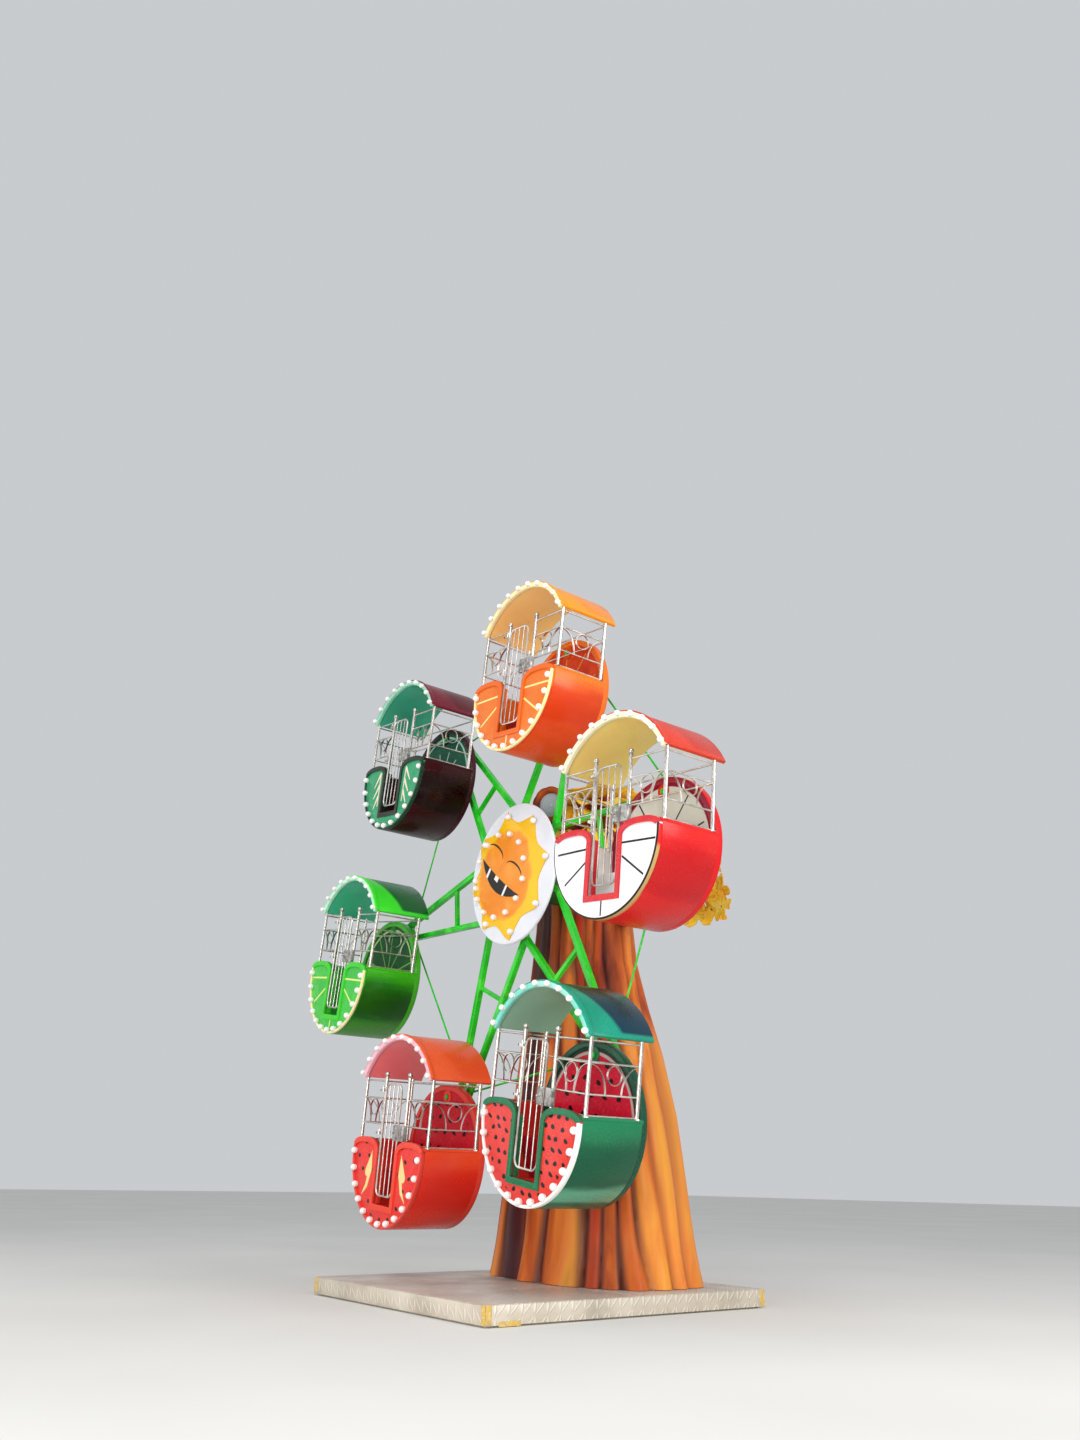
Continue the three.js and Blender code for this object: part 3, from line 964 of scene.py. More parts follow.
@dataclass(frozen=True)
class CutFruit(Placed):
    """A painted cut face: flesh, its pattern, and a line or a rind towards the edge."""

    pattern: Pattern = Pattern.SEGMENTS
    marks: str = "ffffff"
    seeds: str = ""
    seed_gap: Point = (0.128, 0.100)
    seed_size: float = 0.24
    seed_limit: float = 0.67
    glow: float = 0.12
    ring: str = ""
    ring_radius: float = 0.64
    ring_width: float = 0.012
    rind: str = ""
    rind_radius: float = 0.655

    def paint(self, net: Wiring) -> Paint:
        """Flesh, strokes, seeds, ring line and rind, one over the other."""
        colour, roughness, height = self.sprayed(net)
        local = net.place(self.at, self.lean)
        x, _, z = net.apart(local)
        flat = net.node("ShaderNodeCombineXYZ")
        net.feed(flat.inputs[0], x)
        net.feed(flat.inputs[2], z)
        out = net.vector("DISTANCE", flat.outputs[0], (0, 0, self.centre_z)).outputs[1]
        glow = net.span(out, 0.25, 0.76, 0, self.glow)
        colour = net.mix(glow, colour, self.light)
        if self.rind:
            colour = net.mix(net.span(out, self.rind_radius, self.rind_radius + 0.01), colour, self.rind)
        if self.seeds:
            gap = (self.seed_gap[0], 1, self.seed_gap[1])
            place = net.vector("DIVIDE", flat.outputs[0], gap).outputs[0]
            mask = net.group(SEEDS, Place=place, Size=self.seed_size).outputs[0]
            inside = net.span(out, self.seed_limit, self.seed_limit + 0.02, 1, 0)
            colour = net.mix(net.times(mask, inside), colour, self.seeds)
        for (ax, az), (bx, bz), width, taper in STROKES[self.pattern]:
            values = {"From": (ax, 0, az), "To": (bx, 0, bz), "Width": width, "Taper": taper}
            mask = net.group(STROKE, Place=flat.outputs[0], **values).outputs[0]
            colour = net.mix(mask, colour, self.marks)
        if self.ring:
            off = net.size(net.minus(out, self.ring_radius))
            mask = net.span(off, self.ring_width, self.ring_width - 0.004)
            colour = net.mix(mask, colour, self.ring)
        return colour, roughness, height


@dataclass(frozen=True)
class TubPaint(Placed):
    """A tub's skin: airbrushed from a lighter top by the lip to a darker belly and a paler zone low down,
    partly paint and partly painted highlight, shade and floor reflection, with another colour inside.
    """

    top: str = "ffffff"
    belly: str = "000000"
    inside: str = "ffffff"
    low: str = "404040"
    sole: float = 0.0
    lip: str = ""
    skin_radius: float = 0.735
    lip_y: float = -0.90

    def paint(self, net: Wiring) -> Paint:
        """Bands of tone by height, partly painted light, broken up by the sprayed clouds, then the lip and
        the inside.
        """
        colour, roughness, height = self.sprayed(net)
        x, y, z = net.apart(net.place(self.at, self.lean))
        wave = net.times(net.noise(net.place(scale=(0.6, 1.2, 0.22)), 1.0, 4), 0.34)
        level = net.plus(z, wave)
        # A lighter band at the top, partly painted highlight.
        colour = net.mix(net.span(level, -0.60, -0.38, 0, 0.85), colour, self.top)
        # A darker band across the belly, partly painted shade.
        dark = net.times(net.span(level, -1.0, -0.9), net.span(level, -0.48, -0.68))
        colour = net.mix(net.times(dark, 0.8), colour, self.belly)
        # A paler zone low down, partly a painted reflection of the floor in the gloss.
        pale = net.span(net.plus(level, net.times(wave, 0.4)), -0.84, -0.98, 0, 0.85)
        colour = net.mix(pale, colour, self.low)
        colour = net.mix(net.span(z, -1.25, -1.29, 0, self.sole), colour, self.belly)
        if self.lip:
            down = net.span(z, -1.02, -1.22, -0.045, 0.0)
            edge = net.minus(net.plus(down, self.lip_y), y)
            colour = net.mix(net.span(edge, -0.012, 0.012), colour, self.lip)
        below = net.math("MINIMUM", net.minus(z, self.centre_z), 0.0)
        out = net.math("SQRT", net.plus(net.power(x, 2.0), net.power(below, 2.0)))
        floor = net.span(out, self.skin_radius - 0.006, self.skin_radius - 0.002, 1, 0)
        return net.mix(floor, colour, self.inside), roughness, height


@dataclass(frozen=True)
class RimPaint(Placed):
    """A rim or border with another tone along its outer edge, and others on its outer side."""

    radius: float = 0.76
    width: float = 0.02
    line: str = ""
    flank: str = ""
    flank_low: str = ""
    flank_y: float = -1.0

    def paint(self, net: Wiring) -> Paint:
        """The outer line by radius, then the side behind the front face."""
        colour, roughness, height = self.sprayed(net)
        x, y, z = net.apart(net.place(self.at, self.lean))
        up = net.minus(z, self.centre_z)
        out = net.math("SQRT", net.plus(net.times(x, x), net.times(up, up)))
        aside = net.size(x)
        out = net.math("MAXIMUM", out, net.times(aside, net.math("GREATER_THAN", z, -0.62)))
        if self.line:
            edge = self.radius - self.width
            colour = net.mix(net.span(out, edge - 0.002, edge + 0.002), colour, self.line)
        if self.flank:
            side = net.mix(net.span(z, -0.80, -0.74), self.flank_low, self.flank)
            behind = net.times(net.span(y, self.flank_y, self.flank_y + 0.003), net.span(out, 0.75, 0.753))
            colour = net.mix(behind, colour, side)
        return colour, roughness, height


@dataclass(frozen=True)
class RoofPaint(Placed):
    """A canopy: two tones outside, a painted reflection of the sky along the middle of its top, and another
    colour inside.
    """

    arc_z: float = 0.0
    middle: float = 0.0
    crest_sheen: str = "000000"
    rear: str = "000000"
    lining: str = "ffffff"

    def paint(self, net: Wiring) -> Paint:
        """The front tone sweeps back along the sides, and the lining starts inside the shell."""
        colour, roughness, height = self.sprayed(net)
        local = net.place(self.at, self.lean)
        x, y, z = net.apart(local)
        sweep = net.times(net.power(net.size(x), 1.7), 0.5)
        line = net.minus(y, sweep)
        behind = net.times(net.span(line, -0.87, -0.80), net.span(z, 0.205, 0.235))
        # Behind the front band, the middle of the top takes a greyer, lighter tone as a painted reflection
        # of the sky; the sides take the rear tone.
        top = net.mix(net.span(net.size(x), 0.25, 0.6), self.crest_sheen, self.rear)
        colour = net.mix(behind, colour, top)
        up = net.minus(z, self.arc_z)
        out = net.math("SQRT", net.plus(net.times(x, x), net.times(up, up)))
        cloud = net.span(net.noise(local, 2.2, 3), 0.35, 0.7, 0, 0.12)
        lining = net.mix(cloud, self.lining, self.base)
        colour = net.mix(net.span(out, self.middle, self.middle + 0.004, 1, 0), colour, lining)
        return colour, roughness, height


@dataclass(frozen=True)
class Stainless(Finish):
    """Polished stainless tube, with fine drawing lines and, on posts, a spiral rib."""

    spiral: bool = False
    coat: float = 0.0
    metallic: float = 1.0
    bump: float = 0.25

    def paint(self, net: Wiring) -> Paint:
        """Drawn lines along the tube, smudges, and the rib as a wave."""
        fine = net.noise(net.place(scale=(0.02, 0.02, 0.5)), 3.0, 4)
        smudge = net.noise(net.place(), 6.0, 3)
        colour = net.ramp(smudge, [(0.32, "c4beb6"), (0.55, "dcd7cf"), (0.7, "efebe5")])
        rough = net.span(net.plus(fine, smudge), 0.7, 1.3, 0.22, 0.38)
        height = net.times(fine, 0.02)
        if self.spiral:
            wave = net.node("ShaderNodeTexWave", wave_type="BANDS", bands_direction="DIAGONAL")
            net.feed_all(wave, {"Vector": net.place(), "Scale": 11.0, "Distortion": 1.5})
            colour = net.mix(net.span(wave.outputs["Fac"], 0.45, 0.9, 0, 0.3), colour, "8d867c")
            height = net.plus(height, net.times(wave.outputs["Fac"], 0.12))
        return colour, rough, height


@dataclass(frozen=True)
class Opal(Finish):
    """White lamp covers with a few cream, dusty smudges."""

    coat: float = 0.6

    def paint(self, net: Wiring) -> Paint:
        """Milky white with faint smudges."""
        cloud = net.noise(net.place(), 9.0, 3)
        white = net.ramp(cloud, [(0.3, "f3efe6"), (0.7, "ffffff")])
        return white, net.span(cloud, 0.3, 0.7, 0.1, 0.25), cloud


@dataclass(frozen=True)
class Bark(Finish):
    """Sculpted bark, airbrushed from purple-brown grooves through red and orange to amber ribs, with
    painted light on the side facing +X and on the limbs, and painted shade in the grooves and higher up.
    """

    coat: float = 0.05
    bump: float = 0.35

    def paint(self, net: Wiring) -> Paint:
        """Streaks along the trunk, darkened in the grooves partly as paint and partly as painted shade, and
        lighter where the painted light attribute is high.
        """
        streak = net.noise(net.place(scale=(0.34, 0.34, 2.2)), 1.0, 5, 0.5)
        fine = net.noise(net.place(scale=(0.06, 0.06, 0.7)), 1.0, 4)
        up = net.span(net.apart(net.place())[2], 2.3, 3.1)
        rib, red, groove, painted_light = (
            net.node("ShaderNodeAttribute", attribute_name=name).outputs["Fac"]
            for name in ("rib", "red", "groove", "painted_light")
        )
        tone = net.plus(streak, net.times(rib, 0.17))
        tone = net.plus(tone, net.times(net.minus(fine, 0.5), 0.14))
        # Darker higher up: partly the bark's own colour, partly painted shadow under the cabins.
        tone = net.minus(tone, net.times(up, 0.16))
        # Painted light: a lighter, more amber tone where the painted light attribute is high.
        tone = net.plus(tone, net.times(painted_light, net.span(up, 0, 1, 0.11, 0.03)))
        browns = [(0.18, "4e1a10"), (0.32, "8e3a18"), (0.44, "bd561c")]
        ambers = [(0.56, "dc7628"), (0.67, "ea8c38"), (0.82, "f4a63c")]
        colour = net.ramp(tone, browns + ambers)
        reddish = net.times(red, net.span(streak, 0.35, 0.6, 0.3, 0.9))
        colour = net.mix(reddish, colour, "b02c14")
        smoky = net.times(up, net.span(net.noise(net.place(), 1.7, 4), 0.5, 0.68, 0, 0.6))
        colour = net.mix(smoky, colour, "7c4638")
        # Grooves darken partly as airbrushed paint and partly as painted shade, which is weaker higher up
        # and weaker and browner on the lit side.
        uneven = net.times(net.minus(streak, 0.5), 1.5)
        mask = net.span(net.plus(groove, uneven), 0.05, 0.95)
        lit = net.times(net.span(painted_light, 0.0, 1.0, 0.88, 0.5), net.span(up, 0.0, 1.0, 1.0, 0.6))
        shadow = net.mix(painted_light, "401c22", "a0603a")
        colour = net.mix(net.times(mask, lit), colour, shadow)
        rough = net.span(fine, 0.3, 0.7, 0.42, 0.62)
        return colour, rough, net.plus(fine, streak)


@dataclass(frozen=True)
class SawnFace(Finish):
    """The sawn end of a limb, grey-blue with growth rings."""

    at: Spot = (0, 0, 0)
    coat: float = 0.05

    def paint(self, net: Wiring) -> Paint:
        """Rings round the limb's middle."""
        local = net.place(self.at)
        out = net.vector("LENGTH", local).outputs[1]
        wobble = net.times(net.noise(local, 4.0, 3), 0.06)
        ring = net.math("SINE", net.times(net.plus(out, wobble), 240.0))
        share = net.span(ring, -1, 1, 0, 1, False)
        return net.mix(share, "a8b6c4", "c6d2dc"), net.span(share, 0, 1, 0.5, 0.65), share


@dataclass(frozen=True)
class LeafPaint(Finish):
    """Yellow leaves with orange bases and brown painted veins."""

    coat: float = 0.2
    bump: float = 0.3

    def paint(self, net: Wiring) -> Paint:
        """Veins run where the leaf's own attribute is high."""
        cloud = net.noise(net.place(), 5.0, 4)
        vein = net.node("ShaderNodeAttribute", attribute_name="vein").outputs["Fac"]
        colour = net.ramp(cloud, [(0.3, "fdb826"), (0.5, "ffd83c"), (0.72, "fff078")])
        edge = net.span(vein, 0.2, 0.02, 0, 0.6)
        colour = net.mix(edge, colour, "d8691a")
        line = net.span(net.plus(vein, net.times(cloud, 0.06)), 0.93, 0.985)
        colour = net.mix(net.times(line, 0.8), colour, "7a3c14")
        return colour, net.span(cloud, 0.3, 0.7, 0.35, 0.55), net.minus(cloud, line)


@dataclass(frozen=True)
class TreadPlate(Finish):
    """Worn aluminium tread plate: rows of raised lozenges that turn by a right angle each time."""

    coat: float = 0.0
    metallic: float = 0.25
    bump: float = 0.9

    def paint(self, net: Wiring) -> Paint:
        """Two crossed sets of lozenges, with dirt between them, and painted shade over the deck's top."""
        x, y, z = net.apart(net.place())
        across = net.plus(x, y)
        along = net.plus(net.minus(x, y), z)
        sets = []
        for u, v in ((across, along), (along, across)):
            shift = 0.0 if u is across else 0.5
            a = net.minus(net.math("FRACT", net.plus(net.times(u, 7.2), shift)), 0.5)
            b = net.minus(net.math("FRACT", net.plus(net.times(v, 7.2), shift)), 0.5)
            long, short = net.power(a, 2.0), net.power(b, 2.0)
            size = net.plus(net.times(long, 5.0), net.times(short, 70.0))
            sets.append(net.span(size, 1.0, 0.3))
        raised = net.math("MAXIMUM", *sets)
        dirt = net.noise(net.place(), 2.2, 5)
        colour = net.ramp(dirt, [(0.28, "b3a898"), (0.5, "d2c6b4"), (0.75, "e2d8c8")])
        colour = net.mix(net.times(raised, 0.5), colour, "efe8da")
        # Painted shade: the top face of the deck sheets is darker and greyer.
        colour = net.mix(net.span(z, 0.168, 0.170, 0, 0.3), colour, "a09a9c")
        return colour, net.span(dirt, 0.3, 0.7, 0.5, 0.36), net.times(raised, 0.6)


@dataclass(frozen=True)
class Ground(Finish):
    """A pale matte studio floor."""

    coat: float = 0.0
    bump: float = 0.0
    specular: float = 0.05

    def paint(self, net: Wiring) -> Paint:
        """A faint broad cloud of tone."""
        cloud = net.noise(net.place(), 0.3, 2)
        pale = net.ramp(cloud, [(0.3, "d9d8d4"), (0.7, "dfdeda")])
        return pale, net.span(cloud, 0, 1, 0.85, 0.95), cloud


@dataclass(frozen=True)
class SunFace(Sprayed):
    """The sun's painted body: orange in the middle, yellow towards its rays."""

    at: Spot = (0, 0, 0)

    def paint(self, net: Wiring) -> Paint:
        """A soft change from orange to yellow, uneven as sprayed by hand."""
        colour, roughness, height = self.sprayed(net)
        local = net.place(self.at)
        out = net.vector("LENGTH", local).outputs[1]
        uneven = net.times(net.noise(local, 3.5, 3), 0.2)
        share = net.span(net.plus(out, uneven), 0.59, 0.67)
        return net.mix(share, colour, "f6c01a"), roughness, height


# The object's parts


@dataclass(frozen=True)
class Fruit:
    """One cabin's colours and patterns."""

    name: str
    skin: tuple[str, str, str, str, str, str]
    face: tuple[str, str, str]
    pattern: Pattern
    marks: str
    rim: str
    trim: str
    wall: tuple[str, str, str]
    wall_pattern: Pattern
    wall_marks: str
    wall_border: str
    roof: tuple[str, str, str, str, str]
    roof_rim: str
    seat: str
    lamps: bool = True
    seeds: str = ""
    wall_seeds: str = ""
    wall_ring: str = ""
    rind: str = ""
    lip: str = ""
    edge: str = ""
    thin_rim: bool = False
    sole: float = 0.0
    lean: float = 9.0
    seed_gap: Point = (0.128, 0.100)
    seed_size: float = 0.24
    inside: str = ""


# Skin: base, shade, light, top, belly, low. Top, belly and low are partly airbrush, partly painted
# highlight, shade and floor reflection.
# Roof: front, shade, crest, rear, lining. Crest is a painted reflection of the sky along the top.
# Face and wall: base, shade, light.
FRUITS = [
    Fruit(
        name="orange", lean=8.5, skin=("dc4a1a", "cc3414", "e86a22", "ea7c24", "d43c14", "e44c1c"),
        face=("e67424", "de641c", "ee8834"), pattern=Pattern.SEGMENTS, marks="f8e48e", rim="fbe9a6",
        thin_rim=True, trim="e4661e", wall=("d9431c", "c8341a", "ea5c26"), wall_pattern=Pattern.RAYS,
        wall_marks="f08c4a", wall_border="f07a1e",
        roof=("f39420", "e67f16", "ee8c18", "e8861a", "ffce80"), roof_rim="fbeab0", seat="b01c24",
    ),
    # The apple's seat is white with a faint blue tint, a painted tint of sky light.
    Fruit(
        name="apple", lean=5.8, skin=("d6161c", "bb0e16", "e2332c", "dc2420", "bd1016", "da201e"),
        face=("f3f1f1", "e2e2e6", "ffffff"), pattern=Pattern.SEGMENTS, marks="1c1a1c", rim="f3f1f1",
        trim="cc2630", lip="c9a266", edge="241216", thin_rim=True, wall=("d8d4c6", "c6c0b0", "e4e0d4"),
        wall_pattern=Pattern.RAYS, wall_marks="2c2628", wall_border="901030", rind="901030",
        roof=("cc3a26", "b82e1c", "c63420", "bc2e1c", "f4d87c"), roof_rim="f8efc8", seat="fafcff",
        lamps=False,
    ),
    Fruit(
        name="melon", lean=8.2, skin=("176a46", "0c4a30", "2c8058", "1d7c50", "0e5236", "66ac8c"),
        face=("de3830", "d02c2c", "e84836"), pattern=Pattern.SEEDS, marks="24101a", seeds="1a0a0e",
        rim="f8f6f2", trim="1a6c44", wall=("d40e30", "c00a28", "e0203a"), wall_pattern=Pattern.SEEDS,
        wall_marks="2a0c14", wall_seeds="16060a", wall_ring="b8b0a8", wall_border="104a34", rind="0c3a2a",
        sole=0.85, roof=("149478", "0e7c64", "1e4438", "063446", "98c4a8"), roof_rim="7cd6c2",
        seat="b8182e",
    ),
    Fruit(
        name="strawberry", lean=4.8, skin=("e8321e", "d6221a", "f24c2c", "f24e2a", "e02a1e", "ea3a2a"),
        face=("e8342c", "d82828", "f04a38"), pattern=Pattern.LEAVES, seed_gap=(0.20, 0.15),
        seed_size=0.165, marks="f2d88e", seeds="1a0a0e", rim="e8453a", trim="ea4430",
        wall=("c81426", "b20c20", "d82434"), wall_pattern=Pattern.SEEDS, wall_marks="2a0c14",
        wall_seeds="16060a", wall_border="d8402e",
        roof=("ec5c2e", "e04c26", "ec6230", "e65228", "ff868c"), roof_rim="f9bccb", seat="c02030",
    ),
    Fruit(
        name="lime", skin=("22881a", "0c5810", "3cae20", "44c41e", "0c4c0c", "3a8e1e"),
        face=("3ec444", "30ac3a", "5cd850"), pattern=Pattern.SEGMENTS, marks="e6f286", rim="f7ecb4",
        thin_rim=True, trim="40d02c", wall=("145a26", "0e481e", "206c34"), wall_pattern=Pattern.RAYS,
        wall_marks="7cb460", wall_ring="b8d890", wall_border="4cc22c",
        roof=("40e430", "28c81e", "2c7a4c", "086024", "48bc98"), roof_rim="b8f0d2", seat="1b6c36",
    ),
    Fruit(
        name="plum", lean=8.4, inside="4a1420",
        skin=("2a040a", "140204", "420c16", "38080f", "120204", "300810"),
        face=("2f9c68", "238458", "44b47c"), pattern=Pattern.VEINS, marks="f4dec4", rim="16402e",
        trim="1e2a20", wall=("155842", "0f4534", "1f6c52"), wall_pattern=Pattern.FAN, wall_marks="b4d4c0",
        wall_ring="a8d0bc", wall_border="3c0c1c", roof=("78182c", "5a142a", "6c2a40", "5a0c18", "38b08c"),
        roof_rim="8cd4b4", seat="155842",
    ),
]


@dataclass
class Lamp:
    """A small opal globe on a short collar, facing -Y from the origin."""

    radius: float = 0.035
    collar: float = 0.031
    stand: float = 0.005
    sunk: float = 0.55
    shape: Mesh = field(init=False, repr=False)

    def model(self) -> None:
        """Turn the globe and its collar, once for all copies."""
        steps = 8
        profile = [(0, 0), (self.collar, 0), (self.collar, self.stand)]
        for i in range(1, steps + 1):
            start = acos(self.sunk)
            angle = start + (pi - start) * i / steps
            profile.append((self.radius * sin(angle), self.stand + self.radius * (self.sunk - cos(angle))))
        profile[-1] = (0, profile[-1][1])
        self.shape = smoothed(turned("lamp_shape", profile, Vector((0, 0, 0)), FORWARD, 14), 50)
        dress(self.shape, Opal("opal_lamp"))

    def put_away(self) -> None:
        """Remove the first globe once its copies are made."""
        bpy.data.objects.remove(self.shape)


@dataclass
class Wheel:
    """The turning frame: where the pivots are, the green steel and the sun disc."""

    lamp: Lamp
    plane_y: float = -0.26
    hub_z: float = 4.44
    pivot_radius: float = 2.67
    first_arm: float = 65.8
    disc_radius: float = 0.834
    disc_front: float = -0.425
    disc_thickness: float = 0.036
    sun_shift: float = -0.08
    sun_limit: float = 0.812
    face_middle: Point = (-0.22, 0.02)
    face_turn: float = -38.0
    mouth_width: float = 0.96
    mouth_top: float = 0.03
    mouth_low: float = 0.19
    body: str = "wheel"

    def pivot(self, index: int) -> Vector:
        """Where a cabin hangs.

        Args:
            index: The arm's number, clockwise from the orange.

        Returns:
            The pivot's place in the middle of the arms.
        """
        angle = radians(self.first_arm - 60 * index)
        return Vector(
            (self.pivot_radius * cos(angle), self.plane_y, self.hub_z + self.pivot_radius * sin(angle))
        )

    def on_disc(self, points: Sequence[Point]) -> list[Point]:
        """Turn and move points of the sun's face onto the disc.

        Args:
            points: Points in the face's own X and Z.

        Returns:
            The points in the object's X and Z.
        """
        turn = radians(self.face_turn)
        shift = (self.face_middle[0], self.face_middle[1] + self.hub_z)
        return [
            (shift[0] + x * cos(turn) - z * sin(turn), shift[1] + x * sin(turn) + z * cos(turn))
            for x, z in points
        ]

    def steel(self) -> list[Mesh]:
        """Round the edges of the hub, arms and tie rods, and paint them."""
        greens = tones(("18c81a", "10981c", "58ee3c"))
        green = Sprayed("wheel_green", **greens, stretch=(0.4, 0.4, 0.4), coat=0.3).material()
        made = []
        nodes = ["wheel_hub", "tie_ring", *(f"arm_{fruit.name}" for fruit in FRUITS)]
        for node in nodes:
            piece = from_cad(node, f"{node}_steel", 0.006 if node != "tie_ring" else 0.003)
            piece.data.materials.append(green)
            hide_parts(node)
            made.append(piece)
        return made

    def star(self, tips: int, outer: float, inner: float) -> list[Point]:
        """The sun's outline: pointed rays with a hollow curve from each to the next.

        Args:
            tips: How many rays.
            outer: The radius at the tips.
            inner: The radius between them.

        Returns:
            The outline on the disc.
        """
        points = []
        steps = 12
        for i in range(tips):
            for j in range(steps):
                share = j / steps
                near = abs(2 * share - 1) ** 1.8
                angle = tau * (i + share + 0.06 * sin(2.1 * i)) / tips + 0.07
                reach = inner + (outer - inner) * near * (0.92 + 0.08 * cos(2.3 * (i + (share > 0.5))))
                x, z = self.sun_shift + reach * cos(angle), reach * sin(angle)
                beyond = max(1.0, hypot(x, z) / self.sun_limit)
                points.append((x / beyond, self.hub_z + z / beyond))
        return points

    def lip(self, x: float, depth: float) -> float:
        """Height of a lip that sags by a depth in the middle of the mouth."""
        return -0.02 - depth * sin(pi * (x / self.mouth_width + 0.5)) ** 0.85

    def disc_plate(self) -> Mesh:
        """Turn the white disc, with a groove round its front edge."""
        r, deep = self.disc_radius, self.disc_thickness
        centre = Vector((0, self.disc_front + deep, self.hub_z))
        lip = 0.012
        profile = [(0, 0), (r - lip, 0), (r, lip), (r, deep - lip), (r - lip, deep)]
        profile += [(r - 0.03, deep), (r - 0.036, deep - 0.006), (0, deep - 0.006)]
        plate = smoothed(turned("sun_plate", profile, centre, FORWARD, 96))
        whites = tones(("e4e6ec", "ccd0da", "f4f5f8"))
        dress(plate, Sprayed("sun_white", **whites, amount=0.35, stretch=(0.5, 0.5, 0.5)))
        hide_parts("sun_disc")
        return plate

    def sun_body(self) -> Mesh:
        """Cut the rayed body, which stands a little proud of the disc."""
        front = self.disc_front
        rays = rounded(slab("sun_rays", self.star(8, 0.80, 0.62), front - 0.004, front + 0.008), 0.002)
        oranges = tones(("f29222", "e67c18", "f8a434"))
        spot = (-0.14, front, self.hub_z)
        return dress(rays, SunFace("sun_orange", **oranges, stretch=(0.3, 0.3, 0.3), at=spot))

    def smile(self) -> list[Mesh]:
        """Cut the mouth, its teeth and the closed eyelids."""
        front = self.disc_front
        ink = Sprayed("sun_ink", **tones(("1c1714", "0c0a0a", "332a26"))).material()
        white = Sprayed("sun_teeth", **tones(("f4f1ea", "dedad2", "ffffff"))).material()
        across = [self.mouth_width * (i / 28 - 0.5) for i in range(29)]
        upper = [(x, self.lip(x, self.mouth_top)) for x in across]
        lower = [(x, self.lip(x, self.mouth_low)) for x in reversed(across)]
        mouth = slab("sun_mouth", self.on_disc([*upper, *lower[1:-1]]), front - 0.007, front)
        mouth.data.materials.append(ink)
        bars = []
        for x, half, deep in ((-0.25, 0.020, 1.0), (-0.05, 0.042, 0.36), (0.19, 0.018, 1.0)):
            ends = (x - half, x + half)
            foot = self.mouth_top + (self.mouth_low - self.mouth_top) * deep
            corners = [(a, self.lip(a, self.mouth_top)) for a in ends]
            corners += [(a, self.lip(a, foot)) for a in reversed(ends)]
            bars.append(slab("tooth", self.on_disc(corners), front - 0.009, front - 0.004))
        teeth = joined("sun_teeth", bars)
        teeth.data.materials.append(white)
        lids = []
        for middle in (-0.28, 0.20):
            curve = [(middle + x, 0.16 + z * 0.42) for x, z in arc(0.185, 6, 174, 18)]
            thick = [0.008 * sin(pi * i / 18) + 0.003 for i in range(19)]
            top = [(x, z + t) for (x, z), t in zip(curve, thick)]
            under = [(x, z - t) for (x, z), t in zip(curve, thick)][::-1]
            lids.append(slab("lid", self.on_disc([*top, *under]), front - 0.007, front))
        eyes = joined("sun_eyelids", lids)
        eyes.data.materials.append(ink)
        return [mouth, teeth, eyes]

    def sun_lamps(self) -> Mesh:
        """Set two rings of lamps round the face."""
        lamps = []
        for count, radius, at, first in ((13, 0.50, (-0.23, 0.02), 0.4), (8, 0.70, (-0.02, 0), 0.09)):
            for i in range(count):
                angle = tau * (i + first) / count
                x, z = at[0] + radius * cos(angle), at[1] + self.hub_z + radius * sin(angle)
                place = Matrix.Translation(Vector((x, self.disc_front - 0.004, z)))
                lamps.append(copied(self.lamp.shape, "lamp", place))
        return joined("sun_lamps", lamps)

    def sun(self) -> list[Mesh]:
        """The disc, its sun, the sleeping face and two rings of lamps."""
        return [self.disc_plate(), self.sun_body(), *self.smile(), self.sun_lamps()]

    def build(self) -> None:
        """Model and dress the wheel."""
        for piece in [*self.steel(), *self.sun()]:
            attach(piece, self.body)
            LOG.info("wheel: %s", piece.name)


